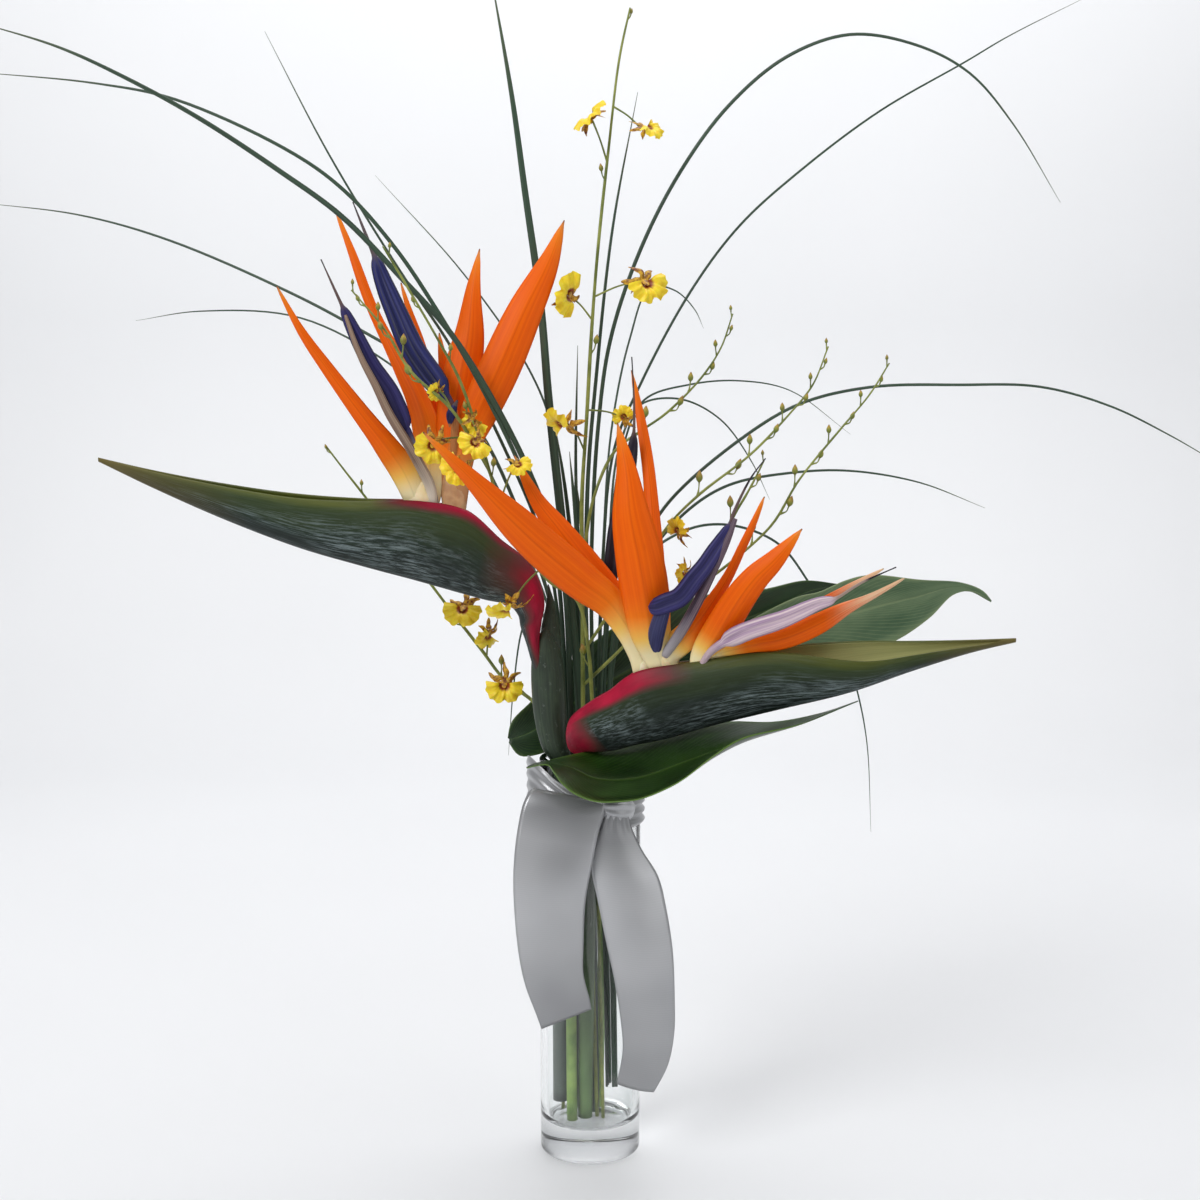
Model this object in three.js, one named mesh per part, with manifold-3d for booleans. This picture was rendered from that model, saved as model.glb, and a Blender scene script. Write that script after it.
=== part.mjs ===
// Bird of paradise arrangement in a tall glass vase: two blooms, three broad leaves,
// three orchid sprays, bear grass, and a satin ribbon tied round the vase's neck.
// Millimetres, +Z up, the vase's axis on Z, its underside at z = 0, the front towards -Y.
// Each route below is a hand-chosen list of points [x, y, z] along a stem, blade or edge.
import * as THREE from 'three';
import { mergeVertices } from 'three/addons/utils/BufferGeometryUtils.js';
import Module from 'manifold-3d';

const wasm = await Module();
wasm.setup();

// ---- driving dimensions ----
const VASE_HEIGHT = 200;
const VASE_RADIUS = 25;
const VASE_WALL = 3.5;
const VASE_BASE = 16;
const FIT = 0.35; // clearance between pieces that touch
const BRACT_WALL = 1.4; // thickness of a flower sheath's wall
const SEPAL_THICK = 1.0;
const LEAF_THICK = 0.9;
const PETAL_THICK = 0.8;
const GRASS_THICK = 1.3;
const RIBBON_THICK = 0.9;
const RIBBON_RADIUS = VASE_RADIUS + 0.9;

const AWAY = new THREE.Vector3(0, 1, 0); // from the front to the back
const UP = new THREE.Vector3(0, 0, 1);

const FINISHES = {
  glass: { color: 0xdfe8e6, roughness: 0.05 },
  ribbon: { color: 0xb4b6ba, roughness: 0.4 },
  stalk: { color: 0x55664f, roughness: 0.6 },
  bract: { color: 0x35503f, roughness: 0.55 },
  sepal: { color: 0xf4631c, roughness: 0.5 },
  arrow: { color: 0x343a78, roughness: 0.6 },
  leaf: { color: 0x2c5a2b, roughness: 0.5 },
  orchid: { color: 0xb5b02f, roughness: 0.6 },
  grass: { color: 0x3f5a41, roughness: 0.6 },
};

// ---- small helpers ----
const vec = (p) => new THREE.Vector3(...p);
const lerp = (a, b, t) => a + (b - a) * t;

// A repeatable random number from 0 to 1 for whole numbers a and b.
function chance(a, b) {
  const wave = Math.sin(a * 127.1 + b * 311.7) * 43758.5453;
  return wave - Math.floor(wave);
}

// Reads a value between evenly spaced stations, t from 0 to 1.
function along(stations, t) {
  const s = Math.min(Math.max(t, 0), 1) * (stations.length - 1);
  const i = Math.min(Math.floor(s), stations.length - 2);
  return lerp(stations[i], stations[i + 1], s - i);
}

function curveThrough(points) {
  return new THREE.CatmullRomCurve3(points.map(vec), false, 'centripetal');
}

// ---- solids ----
function solidFrom(vertices, triangles) {
  const positions = new Float32Array(vertices.flatMap((p) => [p.x, p.y, p.z]));
  let volume = 0;
  for (const [a, b, c] of triangles) {
    volume += vertices[a].dot(vertices[b].clone().cross(vertices[c]));
  }
  const faces = volume > 0 ? triangles : triangles.map(([a, b, c]) => [a, c, b]);
  const mesh = { numProp: 3, vertProperties: positions, triVerts: new Uint32Array(faces.flat()) };
  return new wasm.Manifold(new wasm.Mesh(mesh));
}

const join = (solids) => (solids.length > 1 ? wasm.Manifold.union(solids) : solids[0]);

// Joins a run of closed rings, each with the same number of points, and caps both ends.
function loft(rings) {
  const count = rings[0].length;
  const vertices = rings.flat();
  const triangles = [];
  for (let i = 0; i < rings.length - 1; i++) {
    for (let j = 0; j < count; j++) {
      const a = i * count + j;
      const b = i * count + ((j + 1) % count);
      triangles.push([a, b, b + count], [a, b + count, a + count]);
    }
  }
  const last = (rings.length - 1) * count;
  for (let j = 1; j < count - 1; j++) {
    triangles.push([0, j + 1, j], [last, last + j, last + j + 1]);
  }
  return solidFrom(vertices, triangles);
}

// Two pyramids base to base, from one point to another: a bud, or a small petal if it is flat.
function spindle(from, to, wide, deep, { belly = 0.5, sides = 4 } = {}) {
  const [a, b] = [vec(from), vec(to)];
  const ahead = b.clone().sub(a).normalize();
  const side = frontSide(ahead);
  const back = side.clone().cross(ahead);
  const vertices = [a, b];
  const triangles = [];
  for (let j = 0; j < sides; j++) {
    const angle = (j / sides) * 2 * Math.PI;
    const p = a.clone().lerp(b, belly).addScaledVector(side, wide * Math.cos(angle));
    vertices.push(p.addScaledVector(back, deep * Math.sin(angle)));
    const [q, r] = [2 + j, 2 + ((j + 1) % sides)];
    triangles.push([0, q, r], [1, r, q]);
  }
  return solidFrom(vertices, triangles);
}

// A stem along a route, with a few rings for each stretch between its points. Its section is
// an ellipse, with its half widths at the route's points: across the front view, and deep.
function stem(route, across, { deep = across, sides = 6, steps = 2, longer = 0 } = {}) {
  const curve = curveThrough(route);
  const count = Math.round((route.length - 1) * steps);
  const rings = [];
  for (let i = 0; i <= count; i++) {
    const t = i / count;
    const ahead = curve.getTangent(t);
    const side = frontSide(ahead);
    const back = side.clone().cross(ahead).negate();
    const ring = [];
    for (let j = 0; j < sides; j++) {
      const angle = (j / sides) * 2 * Math.PI;
      const p = curve.getPoint(t).addScaledVector(ahead, endShift(i, count) * longer);
      p.addScaledVector(side, Math.cos(angle) * along(across, t));
      p.addScaledVector(back, Math.sin(angle) * along(deep, t));
      ring.push(p);
    }
    rings.push(ring);
  }
  return loft(rings);
}

// -1 at the first of count + 1 stations, 1 at the last, and 0 between them.
const endShift = (i, count) => (i === count ? 1 : 0) - (i === 0 ? 1 : 0);

// The direction across a route that lies in the front view.
function frontSide(ahead) {
  const side = AWAY.clone().cross(ahead);
  if (side.length() < 0.2) side.addScaledVector(UP.clone().cross(ahead), 0.5);
  return side.normalize();
}

// A thin solid on a grid of points: both faces are split into triangles alike.
function skin(rows, thick) {
  const n = rows.length;
  const m = rows[0].length;
  const at = (i, j) => rows[Math.min(Math.max(i, 0), n - 1)][Math.min(Math.max(j, 0), m - 1)];
  const vertices = [];
  for (let i = 0; i < n; i++) {
    for (let j = 0; j < m; j++) {
      const down = at(i + 1, j).clone().sub(at(i - 1, j));
      const across = at(i, j + 1).clone().sub(at(i, j - 1));
      const normal = across.cross(down).normalize().multiplyScalar(thick / 2);
      vertices.push(rows[i][j].clone().add(normal), rows[i][j].clone().sub(normal));
    }
  }
  const id = (i, j, face) => (i * m + j) * 2 + face;
  const triangles = [];
  for (let i = 0; i < n - 1; i++) {
    for (let j = 0; j < m - 1; j++) {
      for (const face of [0, 1]) {
        const [a, b] = [id(i, j, face), id(i, j + 1, face)];
        const [c, d] = [id(i + 1, j + 1, face), id(i + 1, j, face)];
        triangles.push(...(face ? [[a, c, b], [a, d, c]] : [[a, b, c], [a, c, d]]));
      }
    }
  }
  const rim = [];
  for (let j = 0; j < m - 1; j++) rim.push([0, j]);
  for (let i = 0; i < n - 1; i++) rim.push([i, m - 1]);
  for (let j = m - 1; j > 0; j--) rim.push([n - 1, j]);
  for (let i = n - 1; i > 0; i--) rim.push([i, 0]);
  rim.forEach(([i, j], k) => {
    const [p, q] = rim[(k + 1) % rim.length];
    triangles.push([id(i, j, 0), id(i, j, 1), id(p, q, 1)]);
    triangles.push([id(i, j, 0), id(p, q, 1), id(p, q, 0)]);
  });
  return solidFrom(vertices, triangles);
}

// A long pointed blade along a route, folded along its middle. Its widths are given at even
// shares of its length.
function blade(route, widths, { thick, keel, roll, count = 10, cols = 2 }) {
  const curve = curveThrough(route);
  const rows = [];
  for (let i = 0; i <= count; i++) {
    const t = i / count;
    const ahead = curve.getTangentAt(t);
    const side = frontSide(ahead).applyAxisAngle(ahead, along(roll, t));
    const fold = side.clone().cross(ahead);
    const half = along(widths, t) / 2;
    const row = [];
    for (let j = 0; j <= cols; j++) {
      const u = (2 * j) / cols - 1;
      const p = curve.getPointAt(t).addScaledVector(side, u * half);
      row.push(p.addScaledVector(fold, keel * half * (1 - u * u)));
    }
    rows.push(row);
  }
  return skin(rows, thick);
}

// A broad leaf between its two edges and its middle line.
function leafBlade(left, middle, right, { count = 12, cols = 4, thick = LEAF_THICK } = {}) {
  const curves = [left, middle, right].map(curveThrough);
  const rows = [];
  for (let i = 0; i <= count; i++) {
    const t = lerp(0.006, 0.994, i / count);
    const [a, m, b] = curves.map((c) => c.getPointAt(t));
    const row = [];
    for (let j = 0; j <= cols; j++) {
      const u = j / cols;
      const p = a.clone().multiplyScalar((1 - u) * (1 - 2 * u));
      row.push(p.addScaledVector(m, 4 * u * (1 - u)).addScaledVector(b, u * (2 * u - 1)));
    }
    rows.push(row);
  }
  return skin(rows, thick);
}

// ---- the vase and its ribbon ----
function vase() {
  const inner = VASE_RADIUS - VASE_WALL;
  const profile = [
    [0, 0], [VASE_RADIUS - 1.5, 0], [VASE_RADIUS - 0.4, 0.5], [VASE_RADIUS, 1.6],
    [VASE_RADIUS, VASE_HEIGHT - 1.2], [VASE_RADIUS - 0.9, VASE_HEIGHT], [inner + 0.9, VASE_HEIGHT],
    [inner, VASE_HEIGHT - 1.2], [inner, VASE_BASE + 3], [inner - 1, VASE_BASE + 0.9],
    [inner - 3.5, VASE_BASE], [0, VASE_BASE],
  ];
  const lathe = new THREE.LatheGeometry(profile.map(([x, y]) => new THREE.Vector2(x, y)), 32);
  lathe.rotateX(Math.PI / 2);
  lathe.deleteAttribute('normal');
  lathe.deleteAttribute('uv');
  const welded = mergeVertices(lathe, 1e-4);
  const spots = welded.getAttribute('position');
  const vertices = [];
  for (let i = 0; i < spots.count; i++) vertices.push(new THREE.Vector3().fromBufferAttribute(spots, i));
  const index = welded.getIndex().array;
  const triangles = [];
  for (let i = 0; i < index.length; i += 3) {
    const face = [index[i], index[i + 1], index[i + 2]];
    if (new Set(face).size === 3) triangles.push(face);
  }
  return solidFrom(vertices, triangles);
}

// The band round the neck: it stands off the glass in a loose loop at the left.
function ribbonBand() {
  const count = 26;
  const rows = [];
  for (let i = 0; i <= count; i++) {
    const angle = lerp(-0.27, 1.65, i / count) * Math.PI; // from the knot, round the back
    const loop = Math.exp(-(((angle / Math.PI - 1.1) / 0.22) ** 2));
    const radius = RIBBON_RADIUS + 5 * loop;
    const low = lerp(168, 179, loop);
    const high = lerp(186, 196, loop);
    const row = [];
    for (let j = 0; j <= 2; j++) {
      const pleat = 0.35 * Math.abs(Math.sin(j * 2.1 + angle * 1.5));
      const r = radius + pleat;
      row.push(new THREE.Vector3(r * Math.cos(angle), r * Math.sin(angle), lerp(low, high, j / 2)));
    }
    rows.push(row);
  }
  return skin(rows, RIBBON_THICK);
}

const TAIL_LEFT = {
  left: [[-22, -25, 187], [-27, -28, 190], [-31, -32, 185], [-34, -35, 173], [-36, -38, 155],
    [-36, -39, 138], [-34, -37, 112], [-31, -36, 96], [-26, -34, 81], [-23, -33, 72]],
  middle: [[-9, -26.6, 184], [-10, -29, 187], [-12, -33, 182], [-15, -36, 170], [-17, -40, 152],
    [-18, -41, 135], [-17, -39, 112], [-15, -37, 96], [-13, -35, 84], [-11, -33, 77]],
  right: [[6, -26.5, 181], [7, -28, 183], [8, -29, 180], [5, -32, 172], [1, -36, 154],
    [-2, -37, 136], [-3, -36, 114], [-3, -35, 101], [0, -34, 88], [1, -33, 82]],
};
const TAIL_RIGHT = {
  left: [[9, -28, 181], [6, -29, 172], [2, -31, 161], [1, -32, 151], [4, -33, 136], [8, -34, 116],
    [12, -34, 97], [15, -32, 77], [16, -30, 61], [13, -27, 42]],
  middle: [[13, -28.5, 181], [12, -30, 171], [14, -31, 160], [17, -34, 148], [20, -36, 131],
    [25, -37, 111], [28, -36, 91], [29, -34, 71], [28, -31, 55], [22, -27, 39]],
  right: [[18, -26, 180], [20, -26, 171], [25, -27, 160], [33, -29, 147], [37, -31, 131],
    [40, -32, 111], [41, -31, 90], [41, -29, 69], [38, -27, 52], [31, -25, 37]],
};
const KNOT = [[6, -27.6, 180.5], [11, -27.4, 179.5], [16, -25.2, 178.5], [20.5, -21, 177.5]];

function ribbon() {
  const knot = stem(KNOT, [3.5, 6.2, 7, 4], { deep: [1.6, 3.2, 3.6, 2], sides: 8 });
  const tails = [TAIL_LEFT, TAIL_RIGHT].map(({ left, middle, right }) =>
    leafBlade(left, middle, right, { count: 10, thick: RIBBON_THICK }));
  return join([ribbonBand(), knot, ...tails]);
}

// ---- flower stalks ----
const LEFT_STALK = [[-14.5, -1, 25], [-14.5, -1.5, 110], [-13.6, -5, 182], [-14, -6.2, 199],
  [-17.6, -8.6, 209], [-19.4, -10.5, 224], [-20.2, -12.2, 240], [-20.8, -13.2, 252], [-21.2, -14, 260]];
const LEFT_STALK_TONGUE = [[-19, -11.6, 246], [-19, -12, 263], [-19, -12, 278], [-20, -12, 286.5]];
const RIGHT_STALK = [[-2.5, -3, VASE_BASE + 0.7], [-1.6, -10.4, 100], [-1, -13.2, 185],
  [-1.5, -14.2, 198], [-2.6, -16, 204], [-4.4, -18.6, 209.5]];

function leftStalk() {
  const widths = [4.2, 4.3, 5, 5, 6.6, 8, 8.2, 7.2, 4.4];
  const depths = [4.2, 4.3, 4.6, 4.8, 5.6, 6.2, 6.4, 5.6, 3.4];
  return join([
    stem(LEFT_STALK, widths, { deep: depths, sides: 10 }),
    stem(LEFT_STALK_TONGUE, [5, 4.8, 2, 0.5], { deep: [3, 2.6, 1.4, 0.5], sides: 8 }),
  ]);
}

function rightStalk() {
  return stem(RIGHT_STALK, [3.6, 3.9, 4.6, 4.8, 4.9, 4.7], { sides: 10 });
}

// ---- flower sheaths: a neck, then a boat-shaped bract open along its top ----
// Each station pairs a point on the upper edge with one on the keel, and a half width in depth.
const LEFT_BRACT = {
  neck: [[-22.6, -14, 236], [-25.6, -15.6, 250], [-27.4, -16.6, 259], [-28.2, -17.2, 268],
    [-30, -17.8, 276], [-33, -18.5, 284]],
  neckAcross: [1.6, 2.6, 3.2, 5.2, 8.6, 10.5],
  neckDeep: [1.6, 2.6, 3.2, 5, 6.8, 7.4],
  stations: [
    [[-22, -18, 281], [-34, -20, 272], 6.5],
    [[-28, -19, 297], [-38, -20.5, 277], 7.4],
    [[-41, -20, 310], [-50, -21, 280], 8],
    [[-58, -22, 326], [-62, -22.5, 283.5], 8.4],
    [[-80, -24, 329.5], [-82, -25, 289.5], 8.6],
    [[-108, -27, 329.5], [-107, -27, 296.5], 8.2],
    [[-140, -32, 332], [-136, -31, 305.5], 7],
    [[-173, -38, 337], [-169, -37, 319], 5.2],
    [[-202, -45, 343], [-200, -44.5, 334], 3],
    [[-224, -50, 348.5], [-223.5, -50, 346.4], 1],
  ],
  slit: [0.6, 1.6, 3.6, 4.2, 3.6, 2.4, 2, 1.4, 0.9, 0.5],
};
const RIGHT_BRACT = {
  neck: [[-3, -16.6, 205], [-4, -20, 209.5], [-3, -24.5, 216], [1, -28.5, 221.5], [7, -32, 226]],
  neckAcross: [3, 6.6, 8.8, 9, 9.5],
  neckDeep: [3, 5, 6.2, 7, 7.4],
  stations: [
    [[-9, -27, 224], [6, -29, 208.5], 6.6],
    [[-1, -31, 232], [12, -33, 209.5], 7.6],
    [[10, -36, 240.5], [22, -38, 213], 8.2],
    [[22, -42, 252], [36, -44, 217], 8.6],
    [[51, -48, 257.5], [56, -50, 224], 8.8],
    [[83, -58, 263.5], [86, -58, 233], 8.2],
    [[118, -66, 267], [118, -66.5, 242.5], 6.8],
    [[148, -71.5, 267.5], [146, -72, 253.5], 5],
    [[172, -75, 268], [171, -75, 262], 2.8],
    [[190, -78, 269], [189.5, -78, 267], 1],
  ],
  slit: [0.6, 1.4, 3, 4.4, 4.6, 3.8, 3, 2.2, 1.2, 0.5],
};

function bract({ neck, neckAcross, neckDeep, stations, slit }) {
  const tops = curveThrough(stations.map((s) => s[0]));
  const keels = curveThrough(stations.map((s) => s[1]));
  const halves = stations.map((s) => s[2]);
  const count = 13;
  const arc = 8;
  const rows = [];
  for (let i = 0; i <= count; i++) {
    const t = i / count;
    const top = tops.getPoint(t);
    const keel = keels.getPoint(t);
    const middle = top.clone().lerp(keel, 0.5);
    const rise = top.clone().sub(keel).multiplyScalar(0.5);
    const ahead = tops.getTangent(t).add(keels.getTangent(t)).normalize();
    const deep = rise.clone().normalize().cross(ahead).normalize();
    const wall = Math.min(BRACT_WALL, rise.length(), along(halves, t)) / 2;
    const height = rise.length() - wall;
    const depth = Math.max(along(halves, t) - wall, 0.25);
    const open = Math.asin(Math.min(0.9, along(slit, t) / (depth + 0.4)));
    const row = [];
    for (let j = 0; j <= arc; j++) {
      const angle = lerp(open, 2 * Math.PI - open, j / arc);
      const lean = 1 + 0.12 * Math.cos(angle); // fuller above than at the keel
      const p = middle.clone().addScaledVector(rise.clone().normalize(), height * Math.cos(angle));
      row.push(p.addScaledVector(deep, depth * lean * Math.sin(angle)));
    }
    rows.push(row);
  }
  return join([skin(rows, BRACT_WALL), stem(neck, neckAcross, { deep: neckDeep, sides: 8 })]);
}

// The neck alone, a little larger, to cut its seat in the stalk.
function neckSeat({ neck, neckAcross, neckDeep }) {
  const [across, deep] = [neckAcross, neckDeep].map((list) => list.map((v) => v + FIT + 0.1));
  const start = vec(neck[0]).sub(new THREE.Vector3(0, 0, FIT)).toArray();
  return stem([start, ...neck.slice(1)], across, { deep, sides: 8 });
}

// ---- florets: orange sepals on a pale foot, and the blue arrow of petals beside them ----
// A sepal is [route, widths, fold]. An arrow's head is between two shares of its route, below
// that is its haft, or the haft has a route of its own. A style, where it shows, is beside it.
const LEFT_FLORETS = [
  {
    foot: [[[-80, -24, 312], [-80.5, -24, 322], [-81.5, -24.5, 333]], [7.4, 7.4, 6.4], [3, 3.2, 2.6]],
    sepals: [
      [[[-82, -24.5, 327], [-87, -28, 341], [-95, -34, 354], [-105, -39, 368], [-119, -44, 388],
        [-130, -49, 405], [-140, -54, 425]], [9, 12.6, 9, 6.4, 4.2, 0.9], 0.3],
      [[[-76, -23, 328], [-76.5, -18, 356], [-82, -13, 375], [-89, -9, 389], [-104, -2, 418],
        [-115, 3, 447], [-123, 6, 467]], [9, 13.6, 9.6, 5.4, 4.2, 0.9], 0.3],
      [[[-75, -22, 330], [-73, -9, 356], [-75.5, -1, 380], [-82, 5, 402], [-88, 9, 419],
        [-92, 12, 432]], [7, 7.5, 6, 4.6, 3.6, 0.9], 0.3],
    ],
    arrow: [[-72, -23, 321], [-74, -24.5, 333], [-79, -30, 344], [-83, -34, 356], [-88, -36, 369],
      [-92, -37, 378], [-100, -38, 390], [-107, -39, 404], [-112, -40, 415], [-122, -42, 438]],
    head: [0.34, 0.82],
    width: 9,
    style: [[[-73.5, -23.4, 322], [-75, -26, 334], [-79, -31.5, 344], [-84, -36.5, 354],
      [-92, -40, 368], [-98, -41.5, 381], [-105, -42, 395], [-111.5, -40.6, 413]],
      [2, 2.6, 2.5, 2.3, 2.1, 1.8, 1.4, 0.8]],
  },
  {
    foot: [[[-64, -22, 308], [-64, -22, 322], [-65, -21.8, 335]], [6, 6.2, 5.6], [3, 3.2, 2.8]],
    sepals: [
      [[[-64.5, -21.5, 328], [-64, -18, 361], [-61, -16, 384], [-57, -14, 405], [-55, -12, 427],
        [-52, -9, 446]], [9, 15, 18, 16.5, 9, 0.9], 0.3],
      [[[-63, -22, 328], [-60, -24, 351], [-54, -26, 364], [-42, -27, 389], [-30, -24, 416],
        [-19, -18, 439], [-12, -12, 459]], [9, 13, 18.4, 18, 12, 0.9], 0.3],
      [[[-66, -20, 330], [-68, -9.5, 361], [-69, -6, 384], [-71, -4.5, 398], [-72, -4, 407]],
        [7, 8, 8, 7, 5, 0.9], 0.3],
    ],
    arrow: [[-67, -22, 321], [-65, -22.5, 339], [-63.5, -26.5, 355], [-63, -30.5, 368], [-67, -31, 377],
      [-74, -28, 386], [-83, -24, 399], [-90, -20, 414], [-97, -16, 430], [-101, -14, 441],
      [-112, -8, 468]],
    head: [0.36, 0.82],
    width: 12,
  },
];
const RIGHT_FLORETS = [
  {
    foot: [[[27, -43, 236], [26, -43, 248], [24.5, -43.5, 260]], [4.8, 4.9, 4.4], [3, 3.2, 2.8]],
    sepals: [
      [[[24, -44.5, 256], [11, -51, 280], [-3, -56, 292], [-22, -64, 309], [-35, -70, 322],
        [-53, -77, 341], [-72, -83, 360]], [9, 13, 18, 16.4, 8.4, 0.9], 0.3],
      [[[23, -43, 257], [11, -42, 282], [-1, -41.5, 298], [-14, -41, 315], [-24, -39, 328],
        [-35, -36, 349]], [8, 12, 14, 12, 7, 0.9], 0.3],
    ],
    arrow: [[23.5, -42.5, 248], [21, -38, 265], [15, -34, 279], [10, -31, 290], [11, -30, 300],
      [13, -28, 316], [17, -26, 333], [20, -24, 349], [21, -23, 360], [21, -21, 375], [20, -18, 395]],
    head: [0.28, 0.76],
    width: 8,
  },
  {
    foot: [[[37, -45.5, 236], [36, -45.5, 249], [34, -46, 261]], [4.6, 4.8, 4.4], [3, 3.2, 2.8]],
    sepals: [
      [[[32, -46.5, 256], [28, -52, 270], [26, -55, 284], [23, -58, 302], [19, -59, 323],
        [17, -57, 343], [13, -53, 364]], [10, 19, 22, 18.6, 10, 0.9], 0.3],
      [[[34, -44, 257], [31.5, -40, 277], [31, -34, 298], [30, -27, 316], [28, -20, 342],
        [24, -13, 368], [20, -8, 389]], [7, 9, 8, 6, 4.6, 0.9], 0.35],
      [[[37, -47, 257], [46, -52, 268], [56, -54, 282], [64, -53, 295], [70, -50, 307],
        [75, -47, 317], [81, -42, 330]], [8, 12.4, 7, 4.6, 3.4, 0.9], 0.3],
    ],
    haft: [[[30, -43.6, 246], [29.2, -45.5, 253], [30, -49, 260], [31, -55, 269], [34, -62.5, 281]],
      [2.4, 2.8, 3.4, 3.9, 3.2]],
    arrow: [[27, -60, 281], [30, -62, 281], [35, -64, 283], [41, -66, 286], [48, -67, 295],
      [52, -67, 300], [56, -65, 306], [63, -62.5, 317], [65, -61, 323], [73, -58, 339], [80, -55, 348]],
    head: [0, 0.62],
    width: 9.4,
    style: [[[35, -47.5, 257], [42, -56, 269], [49, -62, 283], [56, -64.5, 298], [62, -64, 311],
      [66, -62, 321]], [2.2, 2.5, 2.4, 2.1, 1.7, 1]],
  },
  {
    foot: [[[53, -49.5, 238], [53, -50, 249], [53.5, -51, 259]], [5, 5.2, 4.6], [3, 3.2, 2.6]],
    sepals: [
      [[[52.5, -51.5, 255], [60, -59.5, 271], [69, -66, 287], [75, -68, 295], [83, -70, 303],
        [95, -72, 317]], [10, 14, 14.6, 12.6, 8.4, 0.9], 0.3],
      [[[56, -52, 256], [72, -59, 263], [88, -64, 267], [103, -68, 274], [115, -69, 281],
        [127, -70, 287], [141, -71, 295]], [7, 8.6, 9.6, 9, 3.6, 0.9], 0.35],
      [[[56, -50.5, 256], [73, -50, 265], [93, -49, 274], [107, -48, 281.5], [119, -47, 288],
        [136, -46, 297]], [5, 5, 5, 4.6, 3.2, 0.9], 0.3],
    ],
    arrow: [[50.5, -51, 251], [56, -58, 260.5], [69, -69, 270], [87, -74, 277], [102, -76, 284],
      [109, -76, 286], [121, -74, 293], [137, -72, 300]],
    head: [0.2, 0.71],
    width: 8.8,
  },
];

function sepal([route, widths, keel], k, grow = 0) {
  const roll = [0.15 - 0.1 * k, 0.25 * (k - 1)];
  const ahead = vec(route[1]).sub(vec(route[0])).normalize();
  const start = vec(route[0]).addScaledVector(ahead, -grow).toArray();
  const wide = widths.map((v) => v + 2 * grow);
  return blade([start, ...route.slice(1)], wide, { thick: SEPAL_THICK + 2 * grow, keel, roll });
}

// The arrow: a slim haft, then two folded petals as one head with barbs at its hind end and
// blunt shoulders, then the style's thin tip. Each station is [place along it, half width as
// a share of its width]. grow widens it for the seat it has in its floret.
function arrow({ arrow: route, head: [barb, top], width, style, haft }, grow = 0) {
  const curve = curveThrough(route);
  const place = (s) => lerp(barb, top, s);
  const stations = [...(haft ? [[0, 0.16]] : [[0, 0], [barb * 0.5, 0], [barb, 0]]),
    [place(0.03), 0.34], [place(0.14), 0.5], [place(0.45), 0.48], [place(0.75), 0.4],
    [place(0.95), 0.28], [place(1), 0.12], [lerp(top, 1, 0.5), 0.07], [1, 0.04]];
  const last = stations.length - 1;
  const rings = stations.map(([t, share], i) => {
    const ahead = curve.getTangentAt(t);
    const side = frontSide(ahead);
    const back = side.clone().cross(ahead).negate();
    const least = haft || t > barb ? 0.5 : lerp(1.4, 2.2, t / barb);
    const wide = Math.max(least, share * width) + grow;
    const deep = Math.max(least, 0.55 * share * width) + grow;
    return Array.from({ length: 8 }, (_, j) => {
      const angle = (j / 8) * 2 * Math.PI;
      const p = curve.getPointAt(t).addScaledVector(ahead, endShift(i, last) * grow);
      p.addScaledVector(side, wide * Math.cos(angle));
      return p.addScaledVector(back, deep * Math.sin(angle));
    });
  });
  const solids = [loft(rings)];
  for (const [path, radii] of [style, haft].filter(Boolean)) {
    const across = radii.map((v) => v + grow);
    const deep = radii.map((v) => (path === haft?.[0] ? 0.55 : 1) * v + grow);
    solids.push(stem(path, across, { deep, sides: 6, steps: 1, longer: grow }));
  }
  return join(solids);
}

function floret(plan, grow = 0) {
  const [route, across, deep] = plan.foot;
  const [wide, thick] = [across, deep].map((list) => list.map((v) => v + grow));
  const foot = stem(route, wide, { deep: thick, sides: 8, longer: grow });
  return join([foot, ...plan.sepals.map((one, k) => sepal(one, k, grow))]);
}

// ---- broad leaves ----
const LEAF_FRONT = {
  left: [[-31, -30, 200], [-27, -29.5, 202], [-21, -29, 203.2], [-14, -28.6, 204.8],
    [-6, -27.6, 206.4], [3, -25, 208], [10, -23, 210], [22, -26.5, 213], [36, -33, 218],
    [50, -39, 222.6], [66, -45, 225], [85, -52, 226], [106, -60, 232], [123, -66, 239]],
  middle: [[-31, -30, 200], [-22, -32, 203], [-10, -36, 202], [3, -44, 198], [22, -53, 200],
    [44, -60, 209], [68, -66, 219.5], [95, -69, 228.5], [123, -66, 239]],
  right: [[-31, -30, 200], [-20, -36, 203], [-17, -42, 201], [-13, -48, 197], [-7, -56, 194],
    [3, -64, 192], [13, -70, 193], [23, -75, 195], [34, -79, 200], [42, -81, 205], [55, -82, 216],
    [68, -79, 224], [95, -73, 229.5], [123, -66, 239]],
  petiole: [[-8.8, -7, VASE_BASE + FIT], [-9.2, -12, 110], [-9.8, -14.6, 190], [-10, -16.4, 199.5],
    [-10, -20.6, 202.8], [-9.4, -26, 203.8], [-8, -32, 202.6]],
  radii: [2.6, 2.4, 1.8, 1.6, 1.5, 1.4, 1.1],
};
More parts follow.
